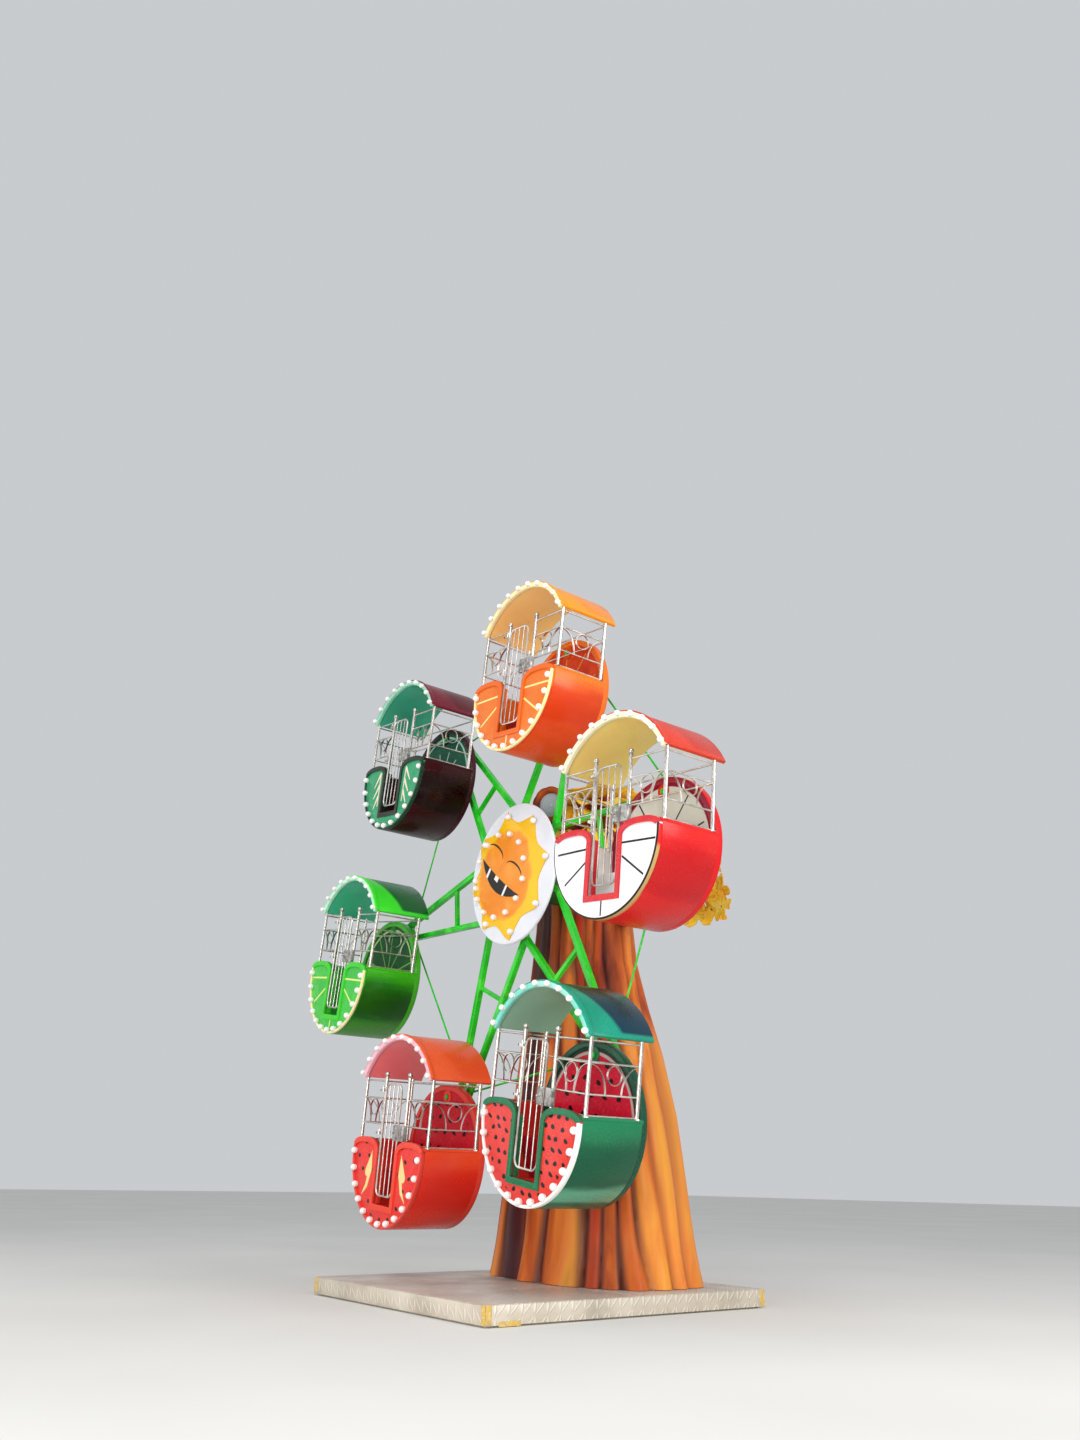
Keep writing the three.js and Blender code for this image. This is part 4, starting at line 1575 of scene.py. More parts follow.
@dataclass
class Cabin:
    """One fruit cabin, modelled about its pivot and then copied to each arm."""

    lamp: Lamp
    half_width: float = 0.760
    centre_z: float = -0.620
    wall: float = 0.040
    side_top: float = -0.540
    lobe_top: float = -0.478
    front: float = -0.943
    back: float = -0.210
    wall_back: float = -0.150
    floor: float = -1.180
    bench_top: float = -0.830
    bench_front: float = -0.520
    slot_half: float = 0.196
    slot_low: float = -1.145
    trim_width: float = 0.058
    rim_width: float = 0.030
    roof_half: float = 0.775
    roof_edge: float = 0.175
    roof_top: float = 0.633
    roof_thick: float = 0.040
    roof_front: float = -0.910
    roof_back: float = -0.140
    gap: float = 0.0003
    bore: float = 0.0315
    post: float = 0.019
    bar: float = 0.009
    strip_thick: float = 0.0045
    strip_half: float = 0.010
    ring_radius: float = 0.088
    corner_x: float = 0.740
    post_front: float = -0.870
    post_back: float = -0.268
    rail_front: float = -0.878
    gate_post_x: float = 0.258
    gate_post_y: float = -0.884
    gate_post_top: float = 0.165
    ball: float = 0.029
    levels: tuple[float, float, float, float] = (0.130, -0.060, -0.330, -0.510)
    gate_half: float = 0.186
    gate_low: float = -1.065
    gate_top: float = 0.105
    gate_corner: float = 0.090
    gate_tube: float = 0.011
    gate_bar: float = 0.007
    gate_y: float = -0.925
    hinge: Vector = field(default_factory=lambda: Vector((-0.199, -0.950, 0)))
    hinge_levels: tuple[float, float] = (-0.440, 0.010)
    hinge_height: float = 0.030
    latch_low: float = -0.485
    latch_high: float = -0.325
    parts: dict[str, Mesh] = field(default_factory=dict)

    @property
    def roof_radius(self) -> float:
        """The canopy's outer radius."""
        rise = self.roof_top - self.roof_edge
        return (self.roof_half**2 + rise**2) / (2 * rise)

    @property
    def roof_centre(self) -> float:
        """The height of the canopy's centre."""
        return self.roof_top - self.roof_radius

    def drum(self, radius: float, near: float, far: float, top: float, low: float | None = None) -> Mesh:
        """Cut a lying cylinder in half and pull its flat side up.

        Args:
            radius: The cylinder's radius.
            near: Y of its front.
            far: Y of its back.
            top: How high its sides reach.
            low: Where it is cut off below, or None for its full round bottom.

        Returns:
            The closed drum.
        """
        put_down()
        bpy.ops.mesh.primitive_cylinder_add(
            vertices=ROUND, radius=radius, depth=far - near, location=(0, (near + far) / 2, self.centre_z),
            rotation=(pi / 2, 0, 0),
        )
        piece = settle(bpy.context.object, "drum")
        open_up(piece)
        cut = {"plane_no": (0, 0, 1), "use_fill": True}
        bpy.ops.mesh.bisect(plane_co=(0, 0, self.centre_z), clear_outer=True, **cut)
        if low is not None:
            all_of_it()
            bpy.ops.mesh.bisect(plane_co=(0, 0, low), clear_inner=True, **cut)
        cut_z = self.centre_z - 0.01
        pick_faces(piece, lambda face: face.normal.z > 0.9 and face.calc_center_median().z > cut_z)
        pull((0, 0, top - self.centre_z))
        face_out()
        put_down()
        return piece

    def lobe_path(self) -> list[Point]:
        """From the right edge over the right lobe, down and up the slot, to the left edge."""
        middle = (self.half_width + self.slot_half) / 2
        reach = (self.half_width - self.slot_half) / 2
        right = []
        for i in range(25):
            share = cos(pi * i / 24)
            side = -0.565 if share > 0 else -0.615
            rise = (self.lobe_top - side) * sqrt(1 - abs(share) ** 2.6)
            right.append((middle + reach * share, side + rise))
        right.append((self.slot_half, self.slot_low))
        return [*right, *((-x, z) for x, z in reversed(right))]

    def tub(self) -> None:
        """The round trough, its lips, the bench, and the cut face with its trim and rim."""
        shell = self.drum(self.half_width - 0.0008, self.front + self.wall, self.back, self.side_top)
        hollow_radius, far = self.half_width - self.wall, self.back + 0.1
        room = self.drum(hollow_radius, self.front - 0.1, far, self.side_top + 0.2, self.floor)
        shell = carve(shell, room)
        lips = []
        steps = (self.front + 0.02, -0.6, self.back + 0.01)
        for side in (-1, 1):
            x = side * (self.half_width - self.wall / 2)
            line = [Vector((x, y, self.side_top + 0.002)) for y in steps]
            lips.append(tube("lip", line, 0.024))
        self.parts["shell"] = joined("shell", [rounded(shell, 0.006), *lips])
        seat = box("seat", (-0.8, self.bench_front, -1.4), (0.8, self.back - 0.002, self.bench_top))
        hollow = self.drum(hollow_radius - 0.001, self.bench_front - 0.1, far, 0, self.floor)
        self.parts["seat"] = rounded(carve(seat, hollow, "INTERSECT"), 0.022, 3)
        path = self.lobe_path()
        bottom = arc(self.half_width - 0.012, 180, 360, 72, (0, self.centre_z))
        behind = self.front + self.wall - self.gap
        self.parts["face"] = rounded(slab("face", [*path, *bottom], self.front + 0.006, behind), 0.003)
        inner = offset(path, -self.trim_width)
        trim = slab("trim", [*path, *reversed(inner)], self.front - 0.009, behind)
        returns = [rounded(trim, 0.014, 3, 50)]
        for x in (-self.slot_half, self.slot_half - 0.005):
            low = (x, self.front + self.wall - 0.001, self.slot_low)
            high = (x + 0.005, self.front + 0.092, -0.60)
            returns.append(rounded(box("return", low, high), 0.002))
        self.parts["trim"] = joined("trim", returns)
        edge, end = self.half_width - 0.0018, self.side_top - 0.03
        rim_path = [(edge, end), *arc(edge, 0, -180, 96, (0, self.centre_z)), (-edge, end)]
        inside = offset(rim_path, self.rim_width)
        rim = slab("rim", [*rim_path, *reversed(inside)], self.front - 0.013, self.front + self.wall)
        self.parts["rim"] = rounded(rim, 0.008, 2, 50)

    def wall_disc(self) -> None:
        """The round back wall with its raised border and the boss that the pin turns in."""
        y0, y1 = self.back + 0.0006, self.wall_back
        r = self.half_width - 0.002
        centre = Vector((0, y1, self.centre_z))
        lip = 0.012
        depth = y1 - y0
        profile = [(0, 0), (r - lip, 0), (r, lip), (r, depth - lip), (r - lip, depth), (0, depth)]
        plate = smoothed(turned("wall", profile, centre, FORWARD, ROUND))
        collar = [(0, 0), (0.066, 0), (0.078, 0.012), (0.078, 0.19), (0, 0.19)]
        boss = turned("boss", collar, Vector((0, -0.0335, 0)), FORWARD, 32)
        hole = rod("hole", Vector((0, -0.3, 0)), Vector((0, 0.1, 0)), self.bore, 32)
        self.parts["wall"] = joined("wall", [plate, smoothed(carve(boss, hole))])
        lining = [(0, 0), (r - 0.03, 0), (r - 0.03, 0.006), (0, 0.006)]
        self.parts["lining"] = turned("lining", lining, Vector((0, y0, self.centre_z)), FORWARD, ROUND)
        section = [Vector((r - 0.065, y, self.centre_z)) for y in (y0 - 0.022, y1 + 0.006)]
        section += [Vector((r + 0.0008, y, self.centre_z)) for y in (y1 + 0.006, y0 - 0.022)]
        border = swept("border", section, Vector((0, 0, self.centre_z)), tau, ROUND)
        self.parts["border"] = rounded(border, 0.010, 3, 50)

    def roof(self) -> None:
        """The barrel canopy and its pale front rim."""
        outer, centre = self.roof_radius, Vector((0, 0, self.roof_centre))
        start = asin((self.roof_edge - self.roof_centre) / outer)
        sweep = pi - 2 * start

        def section(low: float, high: float, near: float, far: float) -> list[Vector]:
            """Corners of a radial section at the canopy's right edge."""
            out = Vector((cos(start), 0, sin(start)))
            corners = ((low, near), (high, near), (high, far), (low, far))
            return [centre + out * r + Vector((0, y, 0)) for r, y in corners]

        shell = section(outer - self.roof_thick, outer, self.roof_front, self.roof_back)
        self.parts["roof"] = rounded(swept("roof", shell, centre, sweep, 72), 0.008)
        rim = section(outer - 0.058, outer + 0.012, self.roof_front - 0.022, self.roof_front + 0.03)
        self.parts["roof_rim"] = rounded(swept("roof_rim", rim, centre, sweep, 72), 0.012, 3)

    def lamps(self, around_tub: bool) -> Mesh:
        """Copy lamps along the canopy's rim, and along the tub's.

        Args:
            around_tub: Whether the tub has lamps.

        Returns:
            The joined lamps.
        """
        places = []
        for x, z in arc(self.roof_radius - 0.022, 32, 148, 9, (0, self.roof_centre)):
            places.append(Matrix.Translation((x, self.roof_front - 0.022, z)) @ Matrix.Scale(0.88, 4))
        if around_tub:
            for x, z in arc(self.half_width - 0.050, -1.5, -178.5, 12, (0, self.centre_z)):
                places.append(Matrix.Translation((x, self.front + 0.004, z)))
        return joined("lamps", [copied(self.lamp.shape, "lamp", place) for place in places])

    def scroll_band(self, length: float) -> Mesh:
        """Bend one panel's strips, from X 0 to its length: an arc at each end and a ring between.

        Args:
            length: The panel's length between its posts.

        Returns:
            The band, in the plane Y 0.
        """
        high, low = self.levels[1] - self.bar, self.levels[2] + self.bar
        reach = min(0.38 * length, 0.205)
        pieces = []
        for start, way in ((0.0, 1), (length, -1)):
            angles = [pi / 2 * i / 14 for i in range(15)]
            line = [(start + way * reach * sin(a), low + (high - low) * cos(a)) for a in angles]
            inside = offset(line, self.strip_thick)
            pieces.append(slab("scroll", [*line, *reversed(inside)], -self.strip_half, self.strip_half))
        middle = Vector((length / 2, 0, high - self.ring_radius))
        section = []
        for a, b in ((0, -1), (0, 1), (-1, 1), (-1, -1)):
            away = Vector((self.ring_radius + a * self.strip_thick, b * self.strip_half, 0))
            section.append(middle + away)
        pieces.append(swept("ring", section, middle, tau, 32))
        return joined("scrolls", pieces)

    def cage(self) -> None:
        """Posts, rails, scrolls and ball finials of polished tube."""
        posts, rails = [], []
        foot, head = self.side_top + self.gap, self.roof_edge
        flange = [(0, 0), (0.034, 0), (0.030, 0.012), (0.020, 0.018), (0, 0.018)]
        for side in (-1, 1):
            x = side * self.corner_x
            for y in (self.post_front, self.post_back):
                ends = (Vector((x, y, z)) for z in (foot, head + 0.005))
                posts.append(rod("post", *ends, self.post, POST_SIDES))
                posts.append(turned("foot", flange, Vector((x, y, foot + 0.016)), UP, POST_SIDES))
            gate_x = side * self.gate_post_x
            gate_foot = Vector((gate_x, self.gate_post_y, self.floor + self.gap))
            gate_head = Vector((gate_x, self.gate_post_y, self.gate_post_top))
            posts.append(rod("gate_post", gate_foot, gate_head, self.post, POST_SIDES))
            neck = [(0, 0), (0.026, 0), (0.026, 0.008), (0.014, 0.014)]
            for i in range(1, 9):
                angle = pi * (0.15 + 0.85 * i / 8)
                neck.append((self.ball * sin(angle), 0.038 - self.ball * cos(angle)))
            neck[-1] = (0, neck[-1][1])
            posts.append(turned("finial", neck, gate_head, UP, POST_SIDES))
            front = [Vector((x, self.rail_front, 0)), Vector((gate_x, self.rail_front, 0))]
            flank = [Vector((x, self.post_front, 0)), Vector((x, self.post_back, 0))]
            for z in self.levels:
                for start, end in (front, flank):
                    lift = Vector((0, 0, z))
                    rails.append(rod("rail", start + lift, end + lift, self.bar, BAR_SIDES))
            for start, end in (front, flank):
                along = end - start
                turn = spin(atan2(along.y, along.x), "Z")
                band = self.scroll_band(along.length)
                rails.append(copied(band, "scrolls", Matrix.Translation(start) @ turn))
                bpy.data.objects.remove(band)
        for z in self.levels[:2]:
            ends = [Vector((side * self.corner_x, self.post_back, z)) for side in (-1, 1)]
            rails.append(rod("rail", ends[0], ends[1], self.bar, BAR_SIDES))
        for z in self.hinge_levels:
            low = Vector((self.hinge.x, self.hinge.y, z))
            high = low + Vector((0, 0, self.hinge_height))
            rails.append(rod("knuckle", low, high, self.gate_tube, BAR_SIDES))
            for x, y in ((-0.250, -0.89), (self.hinge.x - 0.004, self.hinge.y + 0.002)):
                rails.append(box("leaf", (-0.262, self.hinge.y - 0.004, z + 0.004), (x, y, z + 0.026)))
        self.parts["posts"] = smoothed(joined("posts", posts), 40)
        self.parts["rails"] = smoothed(joined("rails", rails), 40)
        low = (0.206, self.gate_y - 0.010, self.latch_low)
        high = (0.306, self.gate_y + 0.04, self.latch_high)
        self.parts["keep"] = rounded(box("keep", low, high), 0.005)

    def gate(self) -> None:
        """The barred gate with its hinge knuckles and latch box."""
        thick = self.gate_tube
        half, low, high = self.gate_half - thick, self.gate_low + thick, self.gate_top - thick
        r = self.gate_corner - thick
        line = []
        right, under, over = half - r, low + r, high - r
        corners = ((right, under), (right, over), (-right, over), (-right, under))
        for (cx, cz), turn in zip(corners, (-90, 0, 90, 180)):
            line += [Vector((x, self.gate_y, z)) for x, z in arc(r, turn, turn + 90, 8, (cx, cz))]
        pieces = [tube("gate_ring", line, thick, closed=True)]
        for i in range(1, 4):
            x = -self.gate_half + 2 * self.gate_half * i / 4
            foot, head = (Vector((x, self.gate_y, z)) for z in (low, high))
            pieces.append(rod("gate_bar", foot, head, self.gate_bar, BAR_SIDES))
        for z in self.hinge_levels:
            z0 = z + self.hinge_height + 0.0004
            foot = Vector((self.hinge.x, self.hinge.y, z0))
            pieces.append(rod("knuckle", foot, foot + Vector((0, 0, self.hinge_height)), thick, BAR_SIDES))
            reach = Vector((-self.gate_half + 0.011, self.gate_y, z0 + 0.015))
            pieces.append(rod("arm", foot + Vector((0, 0, 0.015)), reach, 0.005, 10))
        self.parts["door"] = smoothed(joined("gate", pieces), 40)
        front, low, high = self.gate_y - 0.02, self.latch_low, self.latch_high
        latch = rounded(box("latch", (0.096, front, low), (0.181, self.gate_y + 0.02, high)), 0.006)
        plate = box("plate", (0.106, front - 0.004, low + 0.012), (0.171, front + 0.002, high - 0.012))
        shape = [(0, 0), (0.007, 0), (0.007, 0.012), (0.012, 0.018), (0.010, 0.028), (0, 0.030)]
        knob = turned("knob", shape, Vector((0.139, front - 0.004, (low + high) / 2)), FORWARD, 16)
        self.parts["latch"] = joined("latch", [latch, rounded(plate, 0.002), smoothed(knob)])

    def model(self) -> None:
        """Model every piece once, about the pivot."""
        self.tub()
        self.wall_disc()
        self.roof()
        self.cage()
        self.gate()
        self.parts["lamps"] = self.lamps(around_tub=True)
        self.parts["lamps_top"] = self.lamps(around_tub=False)

    def finishes(self, fruit: Fruit, at: Vector) -> dict[str, bpy.types.Material]:
        """Make one cabin's materials.

        Args:
            fruit: The cabin's colours and patterns.
            at: Its pivot.

        Returns:
            The materials by the piece that wears them.
        """
        name = fruit.name
        spot = {"at": tuple(at), "lean": radians(fruit.lean)}
        base, shade, light, top, belly, low = fruit.skin
        skin_tones = tones(fruit.skin)
        front, roof_shade, crest_sheen, rear, lining = fruit.roof
        # The tub's inside takes the face's colour, lighter than the seat, as painted light on the floor
        # inside; only the plum keeps a dark inside.
        skin = TubPaint(
            f"{name}_skin", **skin_tones, top=top, belly=belly, low=low, sole=fruit.sole,
            inside=fruit.inside or fruit.face[0], lip=fruit.lip, stretch=(0.35, 0.9, 0.25), **spot,
        )
        plain = {"amount": 0.5, "stretch": (0.3, 0.3, 0.3)}
        made = {
            "shell": skin,
            "wall": Sprayed(f"{name}_wall", **skin_tones, **plain),
            "face": CutFruit(
                f"{name}_face", **tones(fruit.face), pattern=fruit.pattern, marks=fruit.marks,
                seeds=fruit.seeds, seed_gap=fruit.seed_gap, seed_size=fruit.seed_size,
                centre_z=self.centre_z, **plain, **spot,
            ),
            "lining": CutFruit(
                f"{name}_lining", **tones(fruit.wall), pattern=fruit.wall_pattern, marks=fruit.wall_marks,
                seeds=fruit.wall_seeds, seed_gap=(0.20, 0.155), seed_size=0.19, seed_limit=0.58,
                glow=0.04, coat=0.0, specular=0.08, ring=fruit.wall_ring, ring_width=0.0165,
                rind=fruit.rind, centre_z=self.centre_z, **plain, **spot,
            ),
            "trim": Sprayed(f"{name}_trim", **tones((fruit.trim, fruit.trim, light)), **plain),
            "rim": RimPaint(
                f"{name}_rim", **tones([fruit.rim] * 3), amount=0.25, line=fruit.edge,
                # The rim's outer side repeats the tub's top and low tones, with their painted light.
                flank=top if fruit.thin_rim else "", flank_low=fruit.lip or low,
                flank_y=self.front + (-0.006 if fruit.edge else 0.012), **spot,
            ),
            "border": RimPaint(
                f"{name}_border", **tones((fruit.wall_border, shade, light)), amount=0.35,
                flank=base if fruit.edge else "", flank_low=base, **spot,
            ),
            "seat": Sprayed(f"{name}_seat", **tones((fruit.seat, fruit.seat, fruit.wall[2])), **plain),
            "roof": RoofPaint(
                f"{name}_roof", **tones((front, roof_shade, front)), crest_sheen=crest_sheen, rear=rear,
                lining=lining, arc_z=self.roof_centre, middle=self.roof_radius - self.roof_thick + 0.006,
                stretch=(0.6, 0.6, 0.6), amount=0.5, **spot,
            ),
            "roof_rim": RimPaint(
                f"{name}_roof_rim", **tones((fruit.roof_rim, fruit.roof_rim, "ffffff")), amount=0.3,
                centre_z=self.roof_centre, radius=self.roof_radius + 0.012, width=0.016, line=front,
                **spot,
            ),
        }
        return {key: finish.material() for key, finish in made.items()}

    def hang(self, fruit: Fruit, at: Vector, steel: dict[str, bpy.types.Material]) -> None:
        """Copy the modelled pieces to a pivot and dress them as one fruit.

        Args:
            fruit: The cabin's colours and patterns.
            at: Its pivot.
            steel: The shared metal materials by piece.
        """
        place = Matrix.Translation(at) @ spin(radians(fruit.lean), "Y")
        worn = {**self.finishes(fruit, at), **steel}
        stands_for = {"shell": "tub", "wall": "back", "posts": "frame", "roof": "canopy", "door": "gate"}
        slots = dict.fromkeys(("shell", "face", "trim", "rim"), f"{fruit.name}_skin")
        slots |= dict.fromkeys(("wall", "lining", "border", "seat"), f"{fruit.name}_panel")
        slots |= dict.fromkeys(("roof", "roof_rim"), f"{fruit.name}_roof")
        slots |= dict.fromkeys(steel, "stainless")
        for key, original in self.parts.items():
            if key == ("lamps_top" if fruit.lamps else "lamps"):
                continue
            piece = copied(original, f"{fruit.name}_{key}", place)
            if not key.startswith("lamps"):
                piece.data.materials.clear()
                piece.data.materials.append(worn[key])
            moving = key in ("door", "latch")
            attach(piece, f"gate_{fruit.name}" if moving else f"cabin_{fruit.name}")
            if key in stands_for:
                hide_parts(f"{fruit.name}_{stands_for[key]}")
        LOG.info("cabin: %s", fruit.name)

    def build(self, wheel: Wheel) -> None:
        """Model the cabin once and hang it from each arm.

        Args:
            wheel: The wheel that carries the cabins.
        """
        self.model()
        tube_steel = Stainless("stainless_tube").material()
        greys = tones(("a8a6a2", "777571", "cfccc6"))
        grain = (0.06, 0.06, 0.06)
        zinc = Sprayed("latch_zinc", **greys, amount=1.0, stretch=grain, metallic=0.4, coat=0.0).material()
        steel = {
            "posts": Stainless("stainless_post", spiral=True).material(),
            "rails": tube_steel,
            "door": tube_steel,
            "latch": zinc,
            "keep": zinc,
        }
        for index, fruit in enumerate(FRUITS):
            self.hang(fruit, wheel.pivot(index), steel)
        for piece in self.parts.values():
            bpy.data.objects.remove(piece)


def bark_layers(mesh: bmesh.types.BMesh) -> list[bmesh.types.BMLayerItem]:
    """Add the attributes that the bark's paint reads."""
    return [mesh.verts.layers.float.new(name) for name in ("groove", "rib", "red", "painted_light")]


@dataclass
class Tree:
    """The sculpted trunk behind the wheel, its sawn limbs, its leaves and the bearing housing."""

    centre: Point = (0.0, 0.81)
    ratio: float = 0.63
    per_rib: int = 22
    rows: int = 84
    seed: int = 7
    starts: Row = (
        -0.008, 0.030, 0.10, 0.19, 0.28, 0.37, 0.45, 0.53, 0.604,
        0.655, 0.708, 0.775, 0.850, 0.880, 0.912, 0.947, 0.992,
    )
    swells: Row = (0.4, -0.1, 0.8, 0.1, 0.6, -0.5, 0.9, 0.2, 0.2, -0.6, 0.6, 0.5, -0.2, 0.2, 0.9, 0.3)
    tones: Row = (0.8, 0.4, 1.2, 0.3, 0.6, 0.2, 0.5, 0.1, 0.3, -1.6, 0.1, 0.5, -0.3, -0.5, 0.1, 0.7)
    reds: Row = (0.0, 0.2, 0.0, 0.3, 0.1, 0.4, 0.2, 0.5, 0.0, 0.0, 0.0, 0.1, 1.0, 0.0, 0.5, 0.0)
    levels: tuple[Row, ...] = (
        (0.1753, 1.312, 2.7, -0.03),
        (0.5, 1.260, 2.7, -0.035),
        (1.15, 1.170, 2.7, -0.04),
        (1.8, 1.085, 2.7, -0.055),
        (2.45, 0.972, 2.6, -0.092),
        (3, 0.850, 2.5, -0.15),
        (3.5, 0.765, 2.4, -0.2),
        (4, 0.715, 2.3, -0.195),
        (4.7, 0.720, 2.2, -0.14),
        (5.2, 0.753, 2.2, -0.11),
        (5.48, 0.640, 2.2, -0.09),
    )
    crown: tuple[Tier, ...] = (
        (17, 0.56, 5.36, 0.45, 0.44),
        (15, 0.56, 5.44, 0.05, 0.44),
        (12, 0.42, 5.52, -0.35, 0.44),
        (7, 0.2, 5.50, -0.6, 0.4),
    )
    collar: tuple[Tier, ...] = (
        (19, 0.66, 5.08, 0.2, 0.36),
        (21, 0.66, 4.96, 0.6, 0.36),
        (19, 0.67, 4.86, 1.0, 0.34),
    )
    cluster_rows: tuple[tuple[float, Row], ...] = (
        (3.83, (1.62, 1.82, 2.02, 2.2)),
        (3.99, (1.66, 1.86, 2.06, 2.2)),
        (4.14, (1.9, 2.12)),
        (4.25, (2.22,)),
    )

    def level(self, z: float) -> Spot:
        """Half width, squareness and sideways shift at a height.

        Args:
            z: The height.

        Returns:
            The three numbers, between the listed levels.
        """
        for low, high in zip(self.levels, self.levels[1:]):
            if z <= high[0]:
                share = (z - low[0]) / (high[0] - low[0])
                return tuple(a + (b - a) * share for a, b in zip(low[1:], high[1:]))
        return self.levels[-1][1:]

    def reach(self, angle: float, half: float, power: float) -> float:
        """The radius of the rounded rectangle in one direction.

        Args:
            angle: The direction.
            half: Half its width.
            power: How square it is.

        Returns:
            The radius.
        """
        a = abs(cos(angle)) / half
        b = abs(sin(angle)) / (half * self.ratio)
        return (a**power + b**power) ** (-1 / power)

    def even_angles(self, count: int) -> list[float]:
        """Directions that divide the foot's outline evenly.

        Args:
            count: How many directions.

        Returns:
            The angles.
        """
        fine = 2000
        half, power = self.levels[0][1:3]
        total, sums = 0.0, [0.0]
        before = Vector((self.reach(0, half, power), 0))
        for i in range(1, fine + 1):
            angle = tau * i / fine
            r = self.reach(angle, half, power)
            here = Vector((r * cos(angle), r * sin(angle)))
            total += (here - before).length
            sums.append(total)
            before = here
        angles, j = [], 0
        for i in range(count):
            while sums[j + 1] < total * i / count:
                j += 1
            angles.append(tau * j / fine)
        return angles

    def trunk(self) -> Mesh:
        """Extrude a circle upwards and sculpt its ribs and grooves."""
        around = len(self.swells) * self.per_rib
        angles = self.even_angles(around)
        piece = self.column(around, self.rows)
        mesh = bmesh.from_edit_mesh(piece.data)
        groove, rib, red, painted_light = bark_layers(mesh)
        low, high = self.levels[0][0], self.levels[-1][0]
        for vertex in mesh.verts:
            turn = atan2(vertex.co.y, vertex.co.x) / tau % 1.0
            share = vertex.co.z / self.rows
            z = low + (high - low) * share**1.15
            half, power, shift = self.level(z)
            wander = 0.008 * sin(3 * tau * turn + 1.1 * z) + 0.006 * sin(7 * tau * turn - 2.3 * z)
            along = (turn + wander - self.starts[0]) % 1.0 + self.starts[0]
            index = bisect.bisect_right(self.starts, along) - 1
            wide = self.starts[index + 1] - self.starts[index]
            aside = abs(2 * (along - self.starts[index]) / wide - 1)
            bulge = (1 - aside**2) ** 0.9
            depth = (0.058 - 0.005 * z + 0.012 * self.swells[index]) * min(1.0, wide / 0.055)
            flare = 0.04 * max(0.0, 1 - (z - low) / 0.5) ** 2 * (0.5 + self.swells[index])
            angle = angles[round(turn * around) % around]
            swell = flare + 0.015 * self.swells[index]
            r = self.reach(angle, half, power) - depth * (1 - bulge) + swell * bulge
            vertex[groove] = max(0.0, (aside - 0.4) / 0.6) if self.tones[index] > -1 else 1.0
            vertex[rib] = self.tones[index] * (1 - aside**4)
            vertex[red] = self.reds[index] * (1 - aside**3)
            # Painted light: 1 on the side facing +X, which the bark's paint makes lighter.
            vertex[painted_light] = min(1.0, max(0.0, (cos(angle - 0.3) - 0.81) / 0.05))
            vertex.co = (self.centre[0] + shift + r * cos(angle), self.centre[1] + r * sin(angle), z)
        bmesh.update_edit_mesh(piece.data)
        piece = smoothed(settle(piece, "trunk_bark"), 60)
        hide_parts("trunk")
        return piece

    def column(self, around: int, rows: int) -> Mesh:
        """Extrude a filled circle of radius 1 upwards, one unit a row.

        Args:
            around: How many vertices go round.
            rows: How many rows it has.

        Returns:
            The column, in edit mode.
        """
        put_down()
        bpy.ops.mesh.primitive_circle_add(vertices=around, radius=1, fill_type="NGON")
        piece = bpy.context.object
        open_up(piece, "FACE")
        for _ in range(rows):
            pull((0, 0, 1))
        return piece

    def limb(self, name: str, node: str, line: Sequence[Vector], radii: Point) -> list[Mesh]:
        """A ribbed, bent limb whose bark stands as a lip round a sunken sawn face.

        Args:
            name: The piece's name.
            node: The CAD node that it stands for.
            line: Where it starts, bends and ends.
            radii: Its radius at the trunk and at the sawn face.

        Returns:
            The limb and its sawn face.
        """
        around, rows = 96, 26
        piece = self.column(around, rows)
        mesh = bmesh.from_edit_mesh(piece.data)
        groove, rib, red, painted_light = bark_layers(mesh)
        start, bend, end = line
        last = (end - bend).normalized()
        side = last.orthogonal().normalized()
        other = last.cross(side)
        lip = [(1.0, -0.014), (0.93, 0.0), (0.78, -0.006), (0.68, -0.05), (0.64, -0.055)]
        for vertex in mesh.verts:
            angle = atan2(vertex.co.y, vertex.co.x)
            row = round(vertex.co.z)
            inner = row - (rows - len(lip) + 1)
            share = min(1.0, row / (rows - len(lip)))
            before, after = start.lerp(bend, share), bend.lerp(end, share)
            middle = before.lerp(after, share)
            along = (after - before).normalized()
            across = (side - along * side.dot(along)).normalized()
            over = along.cross(across)
            wave = (angle / tau * 8 + 0.3 * sin(4 * share)) % 1.0
            aside = abs(2 * wave - 1)
            bulge = (1 - aside**2.2) ** 0.6
            swell = 0.2 * max(0.0, 1 - share * 3) ** 2
            r = (radii[0] + (radii[1] - radii[0]) * share) * (0.94 + 0.06 * bulge + swell)
            if inner >= 0:
                shrink, depth = lip[inner]
                r = (radii[1] * (0.94 + 0.06 * bulge * (shrink > 0.8))) * shrink
                middle = end + last * depth
            vertex[groove] = max(0.0, (aside - 0.6) / 0.4) * 0.7 if inner < 2 else 0.0
            vertex[rib] = 0.3 * sin(3 * angle) * bulge
            vertex[red] = 0.1 + 0.1 * sin(2 * angle)
            # Painted light over the whole limb, which the bark's paint makes lighter.
            vertex[painted_light] = 3.0
            vertex.co = middle + (across * cos(angle) + over * sin(angle)) * r
        bmesh.update_edit_mesh(piece.data)
        face_out()
        piece = smoothed(settle(piece, name), 60)
        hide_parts(node)
        r = radii[1] * 0.65
        profile = [(0, 0), (r, 0), (r, 0.012), (r - 0.015, 0.018), (r * 0.5, 0.016), (0, 0.020)]
        foot = end - last * 0.058
        face = smoothed(turned(f"{name}_sawn", profile, foot, last, 48), 50)
        return [piece, dress(face, SawnFace(f"{name}_rings", at=tuple(foot)))]

